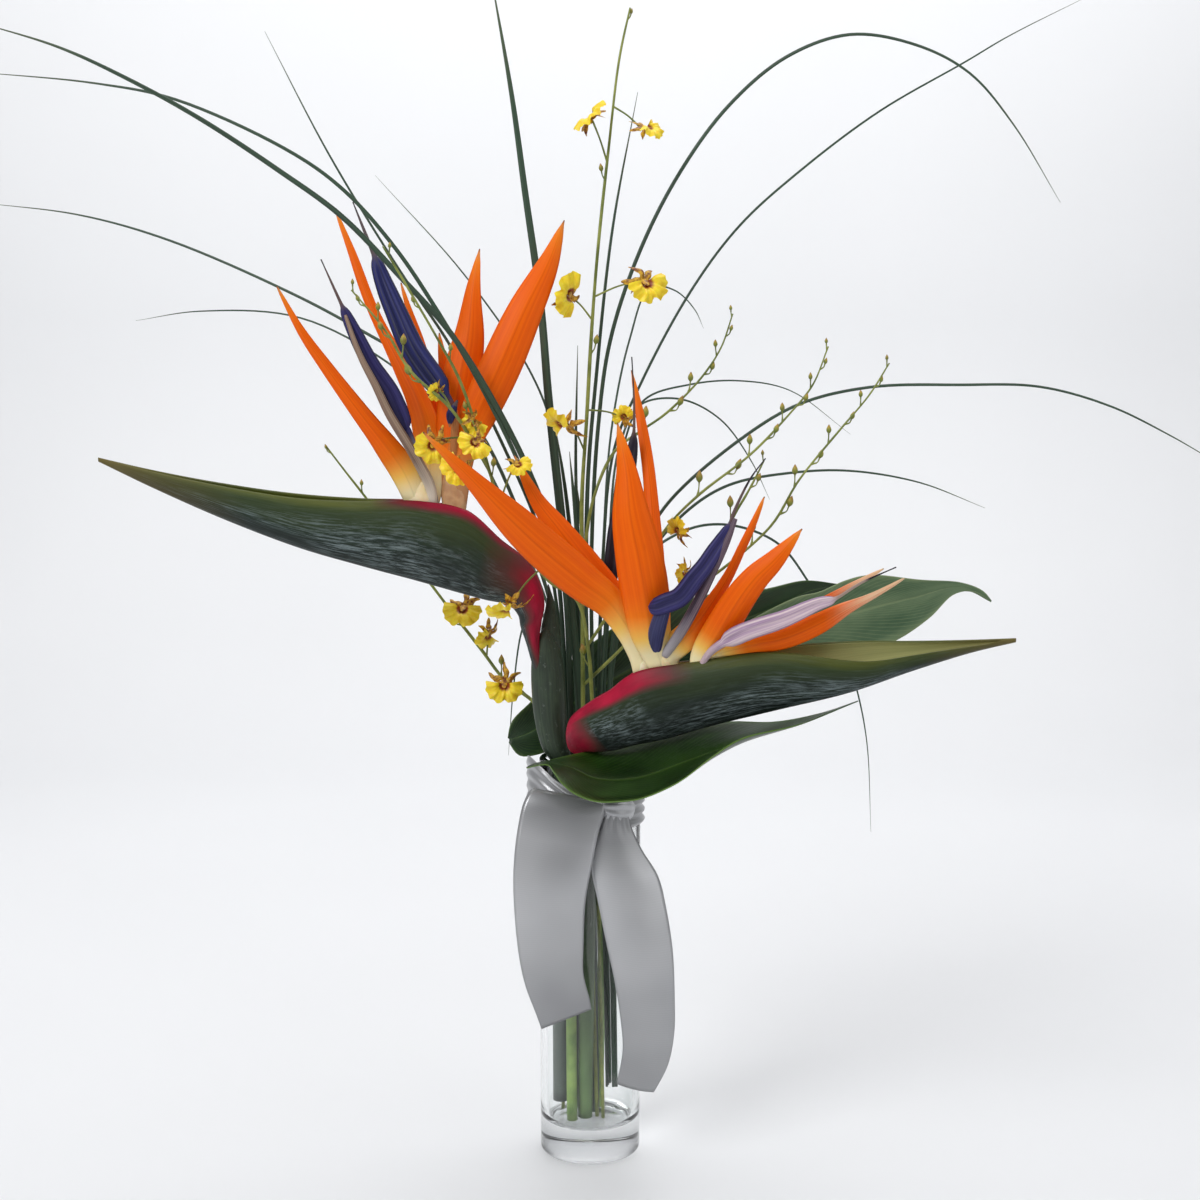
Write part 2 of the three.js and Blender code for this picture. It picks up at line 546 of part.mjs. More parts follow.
const LEAF_RIGHT = {
  left: [[28, 18, 221], [34, 20, 228], [60, 24, 252], [90, 26, 270], [106, 28, 277], [116, 28, 279],
    [130, 30, 284.5], [142, 30, 287], [167, 28, 285], [187, 26, 284], [198, 24, 280], [203, 22, 274]],
  middle: [[28, 18, 221], [60, 21, 241], [95, 24, 256], [130, 28, 267], [165, 29, 276],
    [187, 25, 281.5], [203, 22, 274]],
  right: [[28, 18, 221], [38, 16, 220], [60, 14, 228], [100, 18, 238], [130, 22, 246],
    [154, 26, 254], [172, 27, 266], [184, 25, 278], [194, 23, 279.5], [203, 22, 274]],
  petiole: [[4.5, 11, VASE_BASE + FIT], [6.5, 12, 110], [9, 13, 197], [14, 15.5, 207],
    [22, 17.5, 216], [34, 19.5, 225.5], [48, 20.5, 233.5]],
  radii: [2.4, 2.2, 2, 1.8, 1.7, 1.5, 1.1],
};
const LEAF_BACK = {
  left: [[-42, 20, 204], [-40, 22, 213], [-30, 26, 223], [-8, 30, 245], [20, 35, 265], [55, 40, 275],
    [89, 44, 278.5], [111, 47, 283], [129, 48, 281]],
  middle: [[-42, 20, 204], [-30, 22.5, 208], [-8, 29, 222], [20, 33, 238], [55, 37, 255],
    [89, 42, 267], [112, 46, 277], [129, 48, 281]],
  right: [[-42, 20, 204], [-36, 19, 196.5], [-27, 21, 196.5], [-10, 27.5, 203], [20, 31, 215],
    [55, 36, 235], [90, 42, 257], [112, 45, 271.5], [129, 48, 281]],
  petiole: [[-10, 10, VASE_BASE + FIT], [-10, 11.5, 110], [-10, 13, 197], [-13, 17, 206],
    [-17, 21, 210], [-21, 24.4, 211], [-27, 24, 209.5]],
  radii: [2.2, 2.2, 2, 1.7, 1.6, 1.5, 1.1],
};

function leaf({ left, middle, right, petiole, radii }) {
  return join([
    leafBlade(left, middle, right),
    stem(petiole, radii, { steps: 1 }),
  ]);
}

// ---- bear grass: keeled blades fused in a bunch inside the vase ----
// Each blade is [width, route from the vase's mouth outwards].
const GRASS = {
  grass_left: {
    core: [[-5, 4.5, VASE_BASE + FIT], [-6, 5, 110], [-7, 5.5, 199]],
    coreRadii: [3.1, 3.2, 3.3],
    blades: [
      [3.4, [[-8, 3, 190], [-9.5, 2, 227], [-14, -2, 297], [-28, -16, 339], [-46, -36, 377],
        [-63, -52, 405], [-83, -67, 428], [-107, -78, 453], [-132, -86, 471], [-163, -94, 491],
        [-191, -100, 506], [-218, -104, 518], [-252, -107, 528]]],
      [2.6, [[-8, 6, 190], [-11.5, 5, 227], [-17, 3, 297], [-31, -17, 339], [-50, -36, 381],
        [-70, -42, 416], [-87, -50, 442], [-108, -56, 466], [-130, -60, 482], [-181, -62, 505],
        [-216, -62, 512], [-270, -62, 517]]],
      [2.2, [[-8, 7, 190], [-12, 14, 225], [-21, 22, 296], [-45, 26, 356], [-70, 26, 403],
        [-94, 24, 439], [-127, 18, 494], [-156, 12, 551]]],
      [2.4, [[-7, 8, 190], [-11, 18, 224], [-19, 28, 268], [-28, 38, 296], [-57, 50, 360],
        [-88, 56, 394], [-112, 60, 408], [-151, 66, 429], [-220, 76, 459], [-269, 82, 473],
        [-322, 87, 480]]],
      [1.8, [[-6, 8, 190], [-10, 20, 224], [-20, 38, 265], [-33, 56, 296], [-64, 76, 355],
        [-103, 92, 392], [-158, 106, 421], [-214, 112, 425], [-250, 114, 420]]],
      [1.8, [[-5, 8, 190], [-7, 18, 225], [-10, 26, 268], [-13, 32, 296], [-19, 38, 360],
        [-31, 42, 391], [-64, 50, 439], [-110, 58, 490]]],
      [1.8, [[-7, 8, 190], [-12, 19, 226], [-18, 29, 248], [-24, 46, 264], [-31, 70, 266],
        [-38, 88, 250], [-43, 97, 216], [-46, 102, 180]]],
    ],
  },
  grass_middle: {
    core: [[2.5, 3.5, VASE_BASE + FIT], [1, 2, 110], [-1, 0.8, 203]],
    coreRadii: [2.8, 3, 3.1],
    blades: [
      [4.6, [[-3, 0, 190], [-4.6, 0, 228], [-9.5, 4.5, 277], [-15, 6, 327], [-20, 6, 375],
        [-24, 7, 423], [-31, 6, 474], [-37, 2, 519], [-46, -4, 572]]],
      [2.4, [[0, 2, 190], [-1.6, 4.6, 227], [-2, 9.6, 276], [-1, 12, 336], [3, 12, 385],
        [11, 8, 457], [23, 4, 521]]],
      [3, [[-2, 2, 190], [-4, 5, 230], [-7, 9.5, 280], [-12, 12, 330], [-17, 15, 362]]],
      [3, [[-1, 1, 190], [-2.4, 1.4, 230], [-4.6, 4, 280], [-7.4, 7, 322], [-10, 9, 350]]],
      [2.8, [[-1, 0, 190], [-1.4, 1.6, 230], [-2, 5, 272], [-4, 8.5, 310], [-7, 11, 338]]],
      [2.6, [[-1, 1, 190], [-2, 6.4, 230], [-2.4, 13, 280], [-1, 17, 330], [1, 19, 372]]],
      [2.6, [[-1, 3, 190], [-3, 8, 235], [-5, 13, 285], [-7, 16, 340], [-6, 18, 402]]],
    ],
  },
  grass_right: {
    core: [[11, 1, 30], [9.5, 2, 110], [5.3, 3.3, 199]],
    coreRadii: [4, 3.8, 3.4],
    blades: [
      [2.8, [[4, 2.5, 190], [1.8, 4.6, 227], [0.8, 6, 297], [4, 6, 361], [10, 7, 404], [24, 6, 446],
        [43, 4, 483], [66, 2, 514], [93, -2, 536], [122, -8, 545], [152, -14, 539], [176, -20, 525],
        [196, -24, 501], [217, -30, 465]]],
      [2, [[6, 4, 190], [5, 8, 226], [6.5, 12, 296], [12, 18, 351], [25, 20, 383], [50, 24, 429],
        [74, 26, 461], [104, 28, 488], [143, 30, 517], [185, 32, 541], [207, 34, 554],
        [245, 36, 573]]],
      [1.8, [[5, 6, 190], [4.2, 11, 224], [5, 24, 272], [6.5, 40, 300], [11, 75, 360],
        [21, 96, 409], [32, 104, 437], [46, 110, 436], [57, 114, 426], [62, 116, 416]]],
      [1.8, [[7, 5, 190], [6.6, 11, 224], [8, 24, 276], [10, 36, 306], [17, 50, 352],
        [28, 58, 376], [52, 62, 384], [78, 66, 386], [105, 70, 381], [138, 76, 358]]],
      [2, [[7, 6, 190], [7.2, 13, 223], [8, 26, 270], [9.5, 42, 298], [15, 80, 350], [27, 96, 374],
        [49, 102, 377], [71, 106, 366], [88, 110, 344], [99, 112, 322]]],
      [2.4, [[8, 3, 190], [9, 5, 227], [14.5, 8, 277], [27, 6, 307], [40, 4, 327], [73, 0, 356],
        [101, -4, 373], [134, -8, 381], [176, -14, 382], [213, -18, 381], [245, -22, 372],
        [273, -26, 358], [300, -29, 342]]],
      [2.4, [[8, 4, 190], [9.5, 8, 225], [17, 17, 271], [31, 24, 300], [50, 26, 321], [70, 28, 333],
        [101, 30, 339], [131, 32, 340], [167, 34, 334], [201, 36, 321]]],
      [2.2, [[8, 6, 190], [10, 12, 224], [13, 22, 258], [19, 36, 281], [31, 55, 297], [59, 84, 309],
        [81, 92, 308], [103, 96, 298], [119, 99, 278], [138, 102, 245], [148, 104, 216],
        [154, 104, 186], [157, 104, 136]]],
      [2.6, [[5, 4, 190], [5.4, 5, 230], [9, 4, 280], [13, 3, 316], [18, 3, 342]]],
      [2.6, [[6, 5, 190], [7, 9, 232], [10, 13, 276], [16, 17, 322]]],
    ],
  },
};

function grassBlade([width, route], start) {
  const half = width / 2;
  const across = [0.9, 1, 1, 0.9, 0.7, 0].map((v) => Math.max(0.4, v * half));
  const deep = [1, 1, 1, 1, 0.8, 0.5].map((v) => (v * GRASS_THICK) / 2);
  return stem([start, ...route], across, { deep, sides: 3, steps: 1 });
}

function grassBunch({ core, coreRadii, blades }) {
  const start = curveThrough(core).getPoint(0.9).toArray();
  return join([stem(core, coreRadii, { sides: 7 }), ...blades.map((one) => grassBlade(one, start))]);
}

// ---- orchid sprays: a stem, its branches with buds, and flowers on short stalks ----
// A branch is [route, buds]. A flower is [place, where its stalk leaves, size, turn, nod, roll].
const ORCHIDS = {
  orchid_spray_tall: {
    stem: [[3.5, -2.5, VASE_BASE + FIT], [0.6, -3.8, 110], [-3, -5, 197], [-3.4, -4.6, 240],
      [-3.6, -3, 290], [-3.8, -2.4, 327], [-1.5, -4, 365], [1, -6, 408], [4, -8, 446], [9, -10, 492],
      [14, -12, 533], [19, -13, 556]],
    radius: 1.35,
    buds: 4,
    branches: [
      [[[-3.7, -3, 296], [2, -2.4, 328], [12, 4, 350], [25, 12, 360], [38, 18, 369], [55, 22, 386],
        [65, 24, 401], [71, 26, 418]], 7],
      [[[-3.6, -4, 252], [7, -5.6, 268], [24, -7, 294], [40, -8, 317], [53, -10, 330], [77, -12, 349],
        [95, -14, 368], [106, -15, 382], [113, -16, 400]], 9],
      [[[-3.4, -4.6, 236], [11, -6, 250], [29, -6, 268], [49, -7, 283], [63, -10, 293],
        [87, -14, 315], [100, -16, 337], [119, -18, 361], [132, -20, 377], [141, -22, 392]], 9],
      [[[55, -8.3, 287.3], [68, -6, 316], [77, -7, 332], [84, -8, 346]], 3],
    ],
    flowers: [
      [[1, -15, 505], [8, -10.6, 486], 1, 0, 1.15, -0.75],
      [[25, -15, 501], [12, -11.6, 512], 0.85, 1, 0, -0.9],
      [[-9, -13, 424], [1.6, -6.6, 412], 1.15, 0, 0.8, 1.85],
      [[25, -15, 431], [2, -7, 424], 1.1, 0.5, 0.1, -0.35],
      [[-10, -13, 363], [-3, -3, 350], 1.1, 1.15, 0, 2.4],
      [[18, 3, 366], [-1, -4, 370], 0.65, 0.5, 0, 2.6],
      [[44, -15, 311], [38, -8, 314], 0.8, 1, 0, 3],
      [[46, -14, 294], [49, -7, 284], 0.65, 0.6, 0.4, 1.2],
    ],
  },
  orchid_spray_front: {
    stem: [[6.5, -5, VASE_BASE + FIT], [4.5, -5, 110], [3, -5.6, 197], [1, -8, 232], [-0.6, -11, 254],
      [-6, -22, 280], [-19, -31, 290], [-32, -38, 308], [-41, -43, 326], [-48, -49, 351],
      [-58, -58, 383], [-67, -66, 401], [-78, -74, 421], [-89, -79, 440]],
    radius: 1.2,
    buds: 8,
    branches: [
      [[[-46, -47, 343], [-62, -56, 370], [-80, -58, 387], [-91, -58, 405], [-106, -58, 423]], 6],
    ],
    flowers: [
      [[-69, -64, 356], [-50, -51, 356], 0.9, 0.4, 0, 0.7],
      [[-51, -62, 357], [-44.5, -46, 337], 0.95, 0.2, 0.5, 0.5],
      [[-57, -67, 344], [-47, -48, 349], 0.85, -0.2, 0.3, 1],
      [[-34, -48, 345], [-41, -43, 327], 0.7, 0.6, 0.4, -0.6],
      [[-36, -41, 280], [-24, -34, 295], 1.1, 1.15, 0, 1.57],
    ],
  },
  orchid_spray_low: {
    stem: [[-14.2, 8, VASE_BASE + FIT], [-14, 6.5, 110], [-14, 5, 196], [-17, 7, 208], [-28, 16, 224],
      [-43, 24, 234], [-56, 29, 250], [-72, 33, 270], [-82, 35, 283], [-97, 37, 303],
      [-115, 38, 327], [-125, 38, 340], [-134, 38, 352]],
    radius: 1.2,
    buds: 7,
    branches: [],
    flowers: [
      [[-64, 27, 272], [-70, 32.6, 268], 1.05, -0.1, 0.35, 0.1],
      [[-51, 27, 259], [-53, 28, 246], 0.85, 0.9, 0, 0.9],
      [[-43, 13, 236], [-30, 17.4, 225], 1, 0.1, 0, 0],
    ],
  },
};

function nearestOn(curves, place) {
  const spots = curves.flatMap((c) => c.getSpacedPoints(120));
  const target = vec(place);
  return spots.reduce((best, p) => (p.distanceTo(target) < best.distanceTo(target) ? p : best));
}

function orchidFlower([place, leaves, size, turn, nod, roll], curves) {
  const centre = vec(place);
  const spin = (x, y, z) => new THREE.Vector3(x, y, z).multiplyScalar(size)
    .applyAxisAngle(new THREE.Vector3(1, 0, 0), -nod).applyAxisAngle(UP, turn)
    .applyAxisAngle(AWAY, roll).add(centre);
  const spot = (x, y, z) => spin(x, y, z).toArray();
  const lip = [[], []];
  for (let j = 0; j <= 4; j++) {
    const angle = lerp(-1.8, 1.8, j / 4);
    const lobes = j === 2 ? 0.76 : 1 - 0.06 * Math.abs(j - 2);
    const wave = j % 2 ? 0.7 : -0.5;
    lip[0].push(spin(1.1 * Math.sin(angle), -1.2, -1.7 - 1.1 * Math.cos(angle)));
    lip[1].push(spin(9.6 * lobes * Math.sin(angle), -3 + wave, -2.4 - 9 * lobes * Math.cos(angle)));
  }
  const petals = [0, 1.15, -1.15, 2.1, -2.1].map((angle) => {
    const length = Math.abs(angle) > 2 ? 7 : 8.4;
    const tip = spot(length * Math.sin(angle), 0.6, length * Math.cos(angle));
    return spindle(spot(0, 0, 0), tip, 2.1 * size, 0.9, { belly: 0.6, sides: 3 });
  });
  const column = spindle(spot(0, 1.6, 1.6), spot(0, -2.8, -4.6), 2.4 * size, 2.4 * size, { sides: 4 });
  const root = nearestOn(curves, leaves);
  const sag = vec(place).lerp(root, 0.5).add(new THREE.Vector3(0, 1, 1.2)).toArray();
  const stalk = stem([spot(0, 0.6, 0), sag, root.toArray()], [0.8, 0.6, 0.6], { sides: 3, steps: 1 });
  return [skin(lip, PETAL_THICK), ...petals, column, stalk];
}

// Buds stand out left and right along the last part of a branch, smaller towards its tip.
function budsOn(route, count, seed) {
  const curve = curveThrough(route);
  return Array.from({ length: count }, (_, k) => {
    const t = lerp(0.56, 0.985, k / Math.max(1, count - 1));
    const from = curve.getPointAt(t);
    const ahead = curve.getTangentAt(t);
    const out = frontSide(ahead).multiplyScalar(k % 2 ? 1 : -1).addScaledVector(ahead, 0.9);
    out.addScaledVector(AWAY, 0.8 * (chance(seed, k) - 0.5)).normalize();
    const size = lerp(1, 0.5, k / count);
    const tip = from.clone().addScaledVector(out, size * lerp(7.5, 9.5, chance(k, seed)));
    return spindle(from.toArray(), tip.toArray(), 1.8 * size, 1.8 * size, { belly: 0.7, sides: 3 });
  });
}

function orchidSpray({ stem: route, radius, buds, branches, flowers }, seed) {
  const curves = [route, ...branches.map(([path]) => path)].map(curveThrough);
  const radii = [radius, radius, 0.8 * radius, 0.6];
  const solids = [stem(route, radii, { sides: 4, steps: 1 }), ...budsOn(route, buds, seed)];
  branches.forEach(([path, count], k) => {
    solids.push(stem(path, [0.95, 0.8, 0.55], { sides: 3, steps: 1 }));
    solids.push(...budsOn(path, count, seed + k + 1));
  });
  return join([...solids, ...flowers.flatMap((one) => orchidFlower(one, curves))]);
}

// ---- the assembly ----
const group = new THREE.Group();
group.name = 'bird_of_paradise_arrangement';

function add(name, solid, slot) {
  const { numProp, vertProperties, triVerts } = solid.getMesh();
  const geometry = new THREE.BufferGeometry();
  const positions = new Float32Array((vertProperties.length / numProp) * 3);
  for (let i = 0; i < positions.length / 3; i++) {
    for (let k = 0; k < 3; k++) positions[i * 3 + k] = vertProperties[i * numProp + k];
  }
  geometry.setAttribute('position', new THREE.BufferAttribute(positions, 3));
  geometry.setIndex(new THREE.BufferAttribute(new Uint32Array(triVerts), 1));
  geometry.computeVertexNormals();
  const material = new THREE.MeshStandardMaterial({ ...FINISHES[slot], metalness: 0 });
  const mesh = new THREE.Mesh(geometry, material);
  mesh.name = name;
  group.add(mesh);
}

add('vase', vase(), 'glass');
add('ribbon', ribbon(), 'ribbon');

for (const [side, stalk, plan, florets] of [
  ['left', leftStalk(), LEFT_BRACT, LEFT_FLORETS],
  ['right', rightStalk(), RIGHT_BRACT, RIGHT_FLORETS],
]) {
  const arrowSeats = join(florets.map((one) => arrow(one, FIT)));
  const floretSeats = join(florets.map((one) => floret(one, FIT)));
  add(`${side}_stalk`, stalk.subtract(neckSeat(plan)), 'stalk');
  add(`${side}_bract`, bract(plan).subtract(arrowSeats).subtract(floretSeats), 'bract');
  florets.forEach((one, k) => {
    const others = florets.slice(0, k).map((other) => floret(other, FIT));
    add(`${side}_floret_${k + 1}`, floret(one).subtract(join([arrowSeats, ...others])), 'sepal');
    add(`${side}_arrow_${k + 1}`, arrow(one), 'arrow');
  });
}

add('leaf_front', leaf(LEAF_FRONT), 'leaf');
add('leaf_right', leaf(LEAF_RIGHT), 'leaf');
add('leaf_back', leaf(LEAF_BACK), 'leaf');
Object.entries(GRASS).forEach(([name, plan]) => add(name, grassBunch(plan), 'grass'));
Object.entries(ORCHIDS).forEach(([name, plan], k) => add(name, orchidSpray(plan, 10 * k), 'orchid'));

export default group;
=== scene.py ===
"""Bird of paradise arrangement in a glass vase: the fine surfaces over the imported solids.

Two bird of paradise blooms, three broad leaves, bear grass, three orchid sprays and a satin
ribbon tied round the neck of a clear glass cylinder. Routes are [x, y, z] in millimetres in the
object's own frame: +Z up, the vase's axis on Z, the front towards -Y.
"""
import math
import random

import bmesh
import bpy
import numpy as np
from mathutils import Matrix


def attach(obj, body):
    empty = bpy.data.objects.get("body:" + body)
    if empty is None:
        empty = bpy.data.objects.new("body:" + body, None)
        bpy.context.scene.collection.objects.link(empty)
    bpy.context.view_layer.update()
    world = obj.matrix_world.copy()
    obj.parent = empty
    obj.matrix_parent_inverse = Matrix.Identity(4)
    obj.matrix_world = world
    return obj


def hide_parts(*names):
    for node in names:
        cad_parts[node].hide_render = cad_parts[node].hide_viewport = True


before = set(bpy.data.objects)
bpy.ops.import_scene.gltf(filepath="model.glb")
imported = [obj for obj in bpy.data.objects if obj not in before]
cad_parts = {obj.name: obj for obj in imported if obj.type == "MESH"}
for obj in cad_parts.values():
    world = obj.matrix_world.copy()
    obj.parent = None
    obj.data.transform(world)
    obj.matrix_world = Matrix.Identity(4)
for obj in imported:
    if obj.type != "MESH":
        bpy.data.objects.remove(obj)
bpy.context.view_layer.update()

MM = 0.001
TURN = 2 * math.pi
AWAY = np.array([0.0, 1.0, 0.0])  # from the front to the back
UP = np.array([0.0, 0.0, 1.0])
SAMPLES = 24  # points to each span of a route
SHEET_ENDS = (0.006, 0.994)  # a sheet stops just short of where its edges meet

VASE_HEIGHT = 200
VASE_RADIUS = 25
VASE_WALL = 3.5
VASE_BASE = 16
RIBBON_RADIUS = VASE_RADIUS + 0.9
BAND_ENDS = (-0.27, 1.65)  # in half turns about the vase from its right side, as is the loop's place
LOOP_AT, LOOP_WIDTH = 1.1, 0.22
BAND_LOW, BAND_HIGH = (168, 180), (186, 202)  # each edge's height, and its height in the loop
BAND_MAP, TAIL_MAP = 0.38, 0.3  # how far the satin's map runs along the band and the tails
HEAD_MAP = (0.2, 0.8)  # where a blue head begins and ends on its map
LIP_SPREAD = 1.85  # an orchid lip's half angle
# half widths of a grass blade at even stations, as shares of its greatest and in millimetres
BLADE_ACROSS = (0.8, 0.9, 1, 1, 1, 0.98, 0.94, 0.88, 0.8, 0.68, 0.5, 0.1)
BLADE_DEEP = [0.42 * v for v in (1, 1, 1, 1, 1, 1, 1, 1, 0.9, 0.8, 0.6, 0.3)]
# places along a blue head and a bud, with their half widths as shares of the greatest
HEAD_SHAPE = ((0.06, 0.44), (0.14, 0.5), (0.3, 0.49), (0.45, 0.48), (0.6, 0.44), (0.75, 0.4),
              (0.88, 0.33), (0.95, 0.27), (0.985, 0.19), (1.0, 0.12), (1.03, 0.085))
BUD_SHAPE = ((0, 0.25), (0.08, 0.5), (0.22, 0.86), (0.38, 1.0), (0.56, 0.9), (0.74, 0.62),
             (0.9, 0.3), (1.0, 0.06))

TAIL_LEFT = {
  "left": [[-22, -25, 187], [-27, -28, 190], [-31, -32, 185], [-34, -35, 173], [-36, -38, 155],
    [-36, -39, 138], [-34, -37, 112], [-31, -36, 96], [-26, -34, 81], [-23, -33, 72]],
  "middle": [[-9, -26.6, 184], [-10, -29, 187], [-12, -33, 182], [-15, -36, 170], [-17, -40, 152],
    [-18, -41, 135], [-17, -39, 112], [-15, -37, 96], [-13, -35, 84], [-11, -33, 77]],
  "right": [[6, -26.5, 181], [7, -28, 183], [8, -29, 180], [5, -32, 172], [1, -36, 154],
    [-2, -37, 136], [-3, -36, 114], [-3, -35, 101], [0, -34, 88], [1, -33, 82]],
}
TAIL_RIGHT = {
  "left": [[9, -28, 181], [6, -29, 172], [2, -31, 161], [1, -32, 151], [4, -33, 136], [8, -34, 116],
    [12, -34, 97], [15, -32, 77], [16, -30, 61], [13, -27, 42]],
  "middle": [[13, -28.5, 181], [12, -30, 171], [14, -31, 160], [17, -34, 148], [20, -36, 131],
    [25, -37, 111], [28, -36, 91], [29, -34, 71], [28, -31, 55], [22, -27, 39]],
  "right": [[18, -26, 180], [20, -26, 171], [25, -27, 160], [33, -29, 147], [37, -31, 131],
    [40, -32, 111], [41, -31, 90], [41, -29, 69], [38, -27, 52], [31, -25, 37]],
}
KNOT = [[6, -27.6, 180.5], [11, -27.4, 179.5], [16, -25.2, 178.5], [20.5, -21, 177.5]]
LEFT_STALK = [[-14.5, -1, 25], [-14.5, -1.5, 110], [-13.6, -5, 182], [-14, -6.2, 199],
  [-17.6, -8.6, 209], [-19.4, -10.5, 224], [-20.2, -12.2, 240], [-20.8, -13.2, 252], [-21.2, -14, 260]]
LEFT_STALK_TONGUE = [[-19, -11.6, 246], [-19, -12, 263], [-19, -12, 278], [-20, -12, 286.5]]
RIGHT_STALK = [[-2.5, -3, 16.7], [-1.6, -10.4, 100], [-1, -13.2, 185],
  [-1.5, -14.2, 198], [-2.6, -16, 204], [-4.4, -18.6, 209.5]]
LEFT_BRACT = {
  "neck": [[-22.6, -14, 236], [-25.6, -15.6, 250], [-27.4, -16.6, 259], [-28.2, -17.2, 268],
    [-30, -17.8, 276], [-33, -18.5, 284]],
  "neck_across": [1.6, 2.6, 3.2, 5.2],
  "neck_deep": [1.6, 2.6, 3.2, 5],
  "stations": [
    [[-22, -18, 281], [-34, -20, 272], 6.5],
    [[-28, -19, 297], [-38, -20.5, 277], 7.4],
    [[-41, -20, 310], [-50, -21, 280], 8],
    [[-58, -22, 326], [-62, -22.5, 283.5], 8.4],
    [[-80, -24, 329.5], [-82, -25, 289.5], 8.6],
    [[-108, -27, 329.5], [-107, -27, 296.5], 8.2],
    [[-140, -32, 332], [-136, -31, 305.5], 7],
    [[-173, -38, 337], [-169, -37, 319], 5.2],
    [[-202, -45, 343], [-200, -44.5, 334], 3],
    [[-224, -50, 348.5], [-223.5, -50, 346.4], 1],
  ],
  "slit": [0.6, 1.6, 3.6, 4.2, 3.6, 2.4, 2, 1.4, 0.9, 0.5],
}
RIGHT_BRACT = {
  "neck": [[-3, -16.6, 205], [-4, -20, 209.5], [-3, -24.5, 216], [1, -28.5, 221.5], [7, -32, 226]],
  "neck_across": [3, 6.6],
  "neck_deep": [3, 5],
  "stations": [
    [[-9, -27, 224], [6, -29, 208.5], 6.6],
    [[-1, -31, 232], [12, -33, 209.5], 7.6],
    [[10, -36, 240.5], [22, -38, 213], 8.2],
    [[22, -42, 252], [36, -44, 217], 8.6],
    [[51, -48, 257.5], [56, -50, 224], 8.8],
    [[83, -58, 263.5], [86, -58, 233], 8.2],
    [[118, -66, 267], [118, -66.5, 242.5], 6.8],
    [[148, -71.5, 267.5], [146, -72, 253.5], 5],
    [[172, -75, 268], [171, -75, 262], 2.8],
    [[190, -78, 269], [189.5, -78, 267], 1],
  ],
  "slit": [0.6, 1.4, 3, 4.4, 4.6, 3.8, 3, 2.2, 1.2, 0.5],
}
# sepals: routes with their widths and how far each one's keel stands up. head: where the folded
# petals begin and end along the arrow's route, as shares of its length.
LEFT_FLORETS = [
  {
    "foot": [[[-80, -24, 312], [-80.5, -24, 322], [-81.5, -24.5, 333]], [7.4, 7.4, 6.4], [3, 3.2, 2.6]],
    "sepals": [
      [[[-82, -24.5, 327], [-87, -28, 341], [-95, -34, 354], [-105, -39, 368], [-119, -44, 388],
        [-130, -49, 405], [-140, -54, 425]], [9, 12.6, 9, 6.4, 4.2, 0.9], 0.3],
      [[[-76, -23, 328], [-76.5, -18, 356], [-82, -13, 375], [-89, -9, 389], [-104, -2, 418],
        [-115, 3, 447], [-123, 6, 467]], [9, 13.6, 9.6, 5.4, 4.2, 0.9], 0.3],
      [[[-75, -22, 330], [-73, -9, 356], [-75.5, -1, 380], [-82, 5, 402], [-88, 9, 419],
        [-92, 12, 432]], [7, 7.5, 6, 4.6, 3.6, 0.9], 0.3],
    ],
    "arrow": [[-72, -23, 321], [-74, -24.5, 333], [-79, -30, 344], [-83, -34, 356], [-88, -36, 369],
      [-92, -37, 378], [-100, -38, 390], [-107, -39, 404], [-112, -40, 415], [-122, -42, 438]],
    "head": [0.34, 0.82],
    "width": 9,
    "style": [[[-73.5, -23.4, 322], [-75, -26, 334], [-79, -31.5, 344], [-84, -36.5, 354],
      [-92, -40, 368], [-98, -41.5, 381], [-105, -42, 395], [-111.5, -40.6, 413]],
      [2, 2.6, 2.5, 2.3, 2.1, 1.8, 1.4, 0.8]],
  },
  {
    "foot": [[[-64, -22, 308], [-64, -22, 322], [-65, -21.8, 335]], [6, 6.2, 5.6], [3, 3.2, 2.8]],
    "sepals": [
      [[[-64.5, -21.5, 328], [-64, -18, 361], [-61, -16, 384], [-57, -14, 405], [-55, -12, 427],
        [-52, -9, 446]], [9, 15, 18, 16.5, 9, 0.9], 0.3],
      [[[-63, -22, 328], [-60, -24, 351], [-54, -26, 364], [-42, -27, 389], [-30, -24, 416],
        [-19, -18, 439], [-12, -12, 459]], [9, 13, 18.4, 18, 12, 0.9], 0.3],
      [[[-66, -20, 330], [-68, -9.5, 361], [-69, -6, 384], [-71, -4.5, 398], [-72, -4, 407]],
        [7, 8, 8, 7, 5, 0.9], 0.3],
    ],
    "arrow": [[-67, -22, 321], [-65, -22.5, 339], [-63.5, -26.5, 355], [-63, -30.5, 368],
      [-67, -31, 377], [-74, -28, 386], [-83, -24, 399], [-90, -20, 414], [-97, -16, 430],
      [-101, -14, 441], [-112, -8, 468]],
    "head": [0.36, 0.82],
    "width": 12,
    "petal": [[[-65, -33, 362], [-64, -34.5, 368], [-61, -35, 374.5]], [0.3, 2.3, 0.4],
      [0.3, 1.7, 0.4]],
  },
]
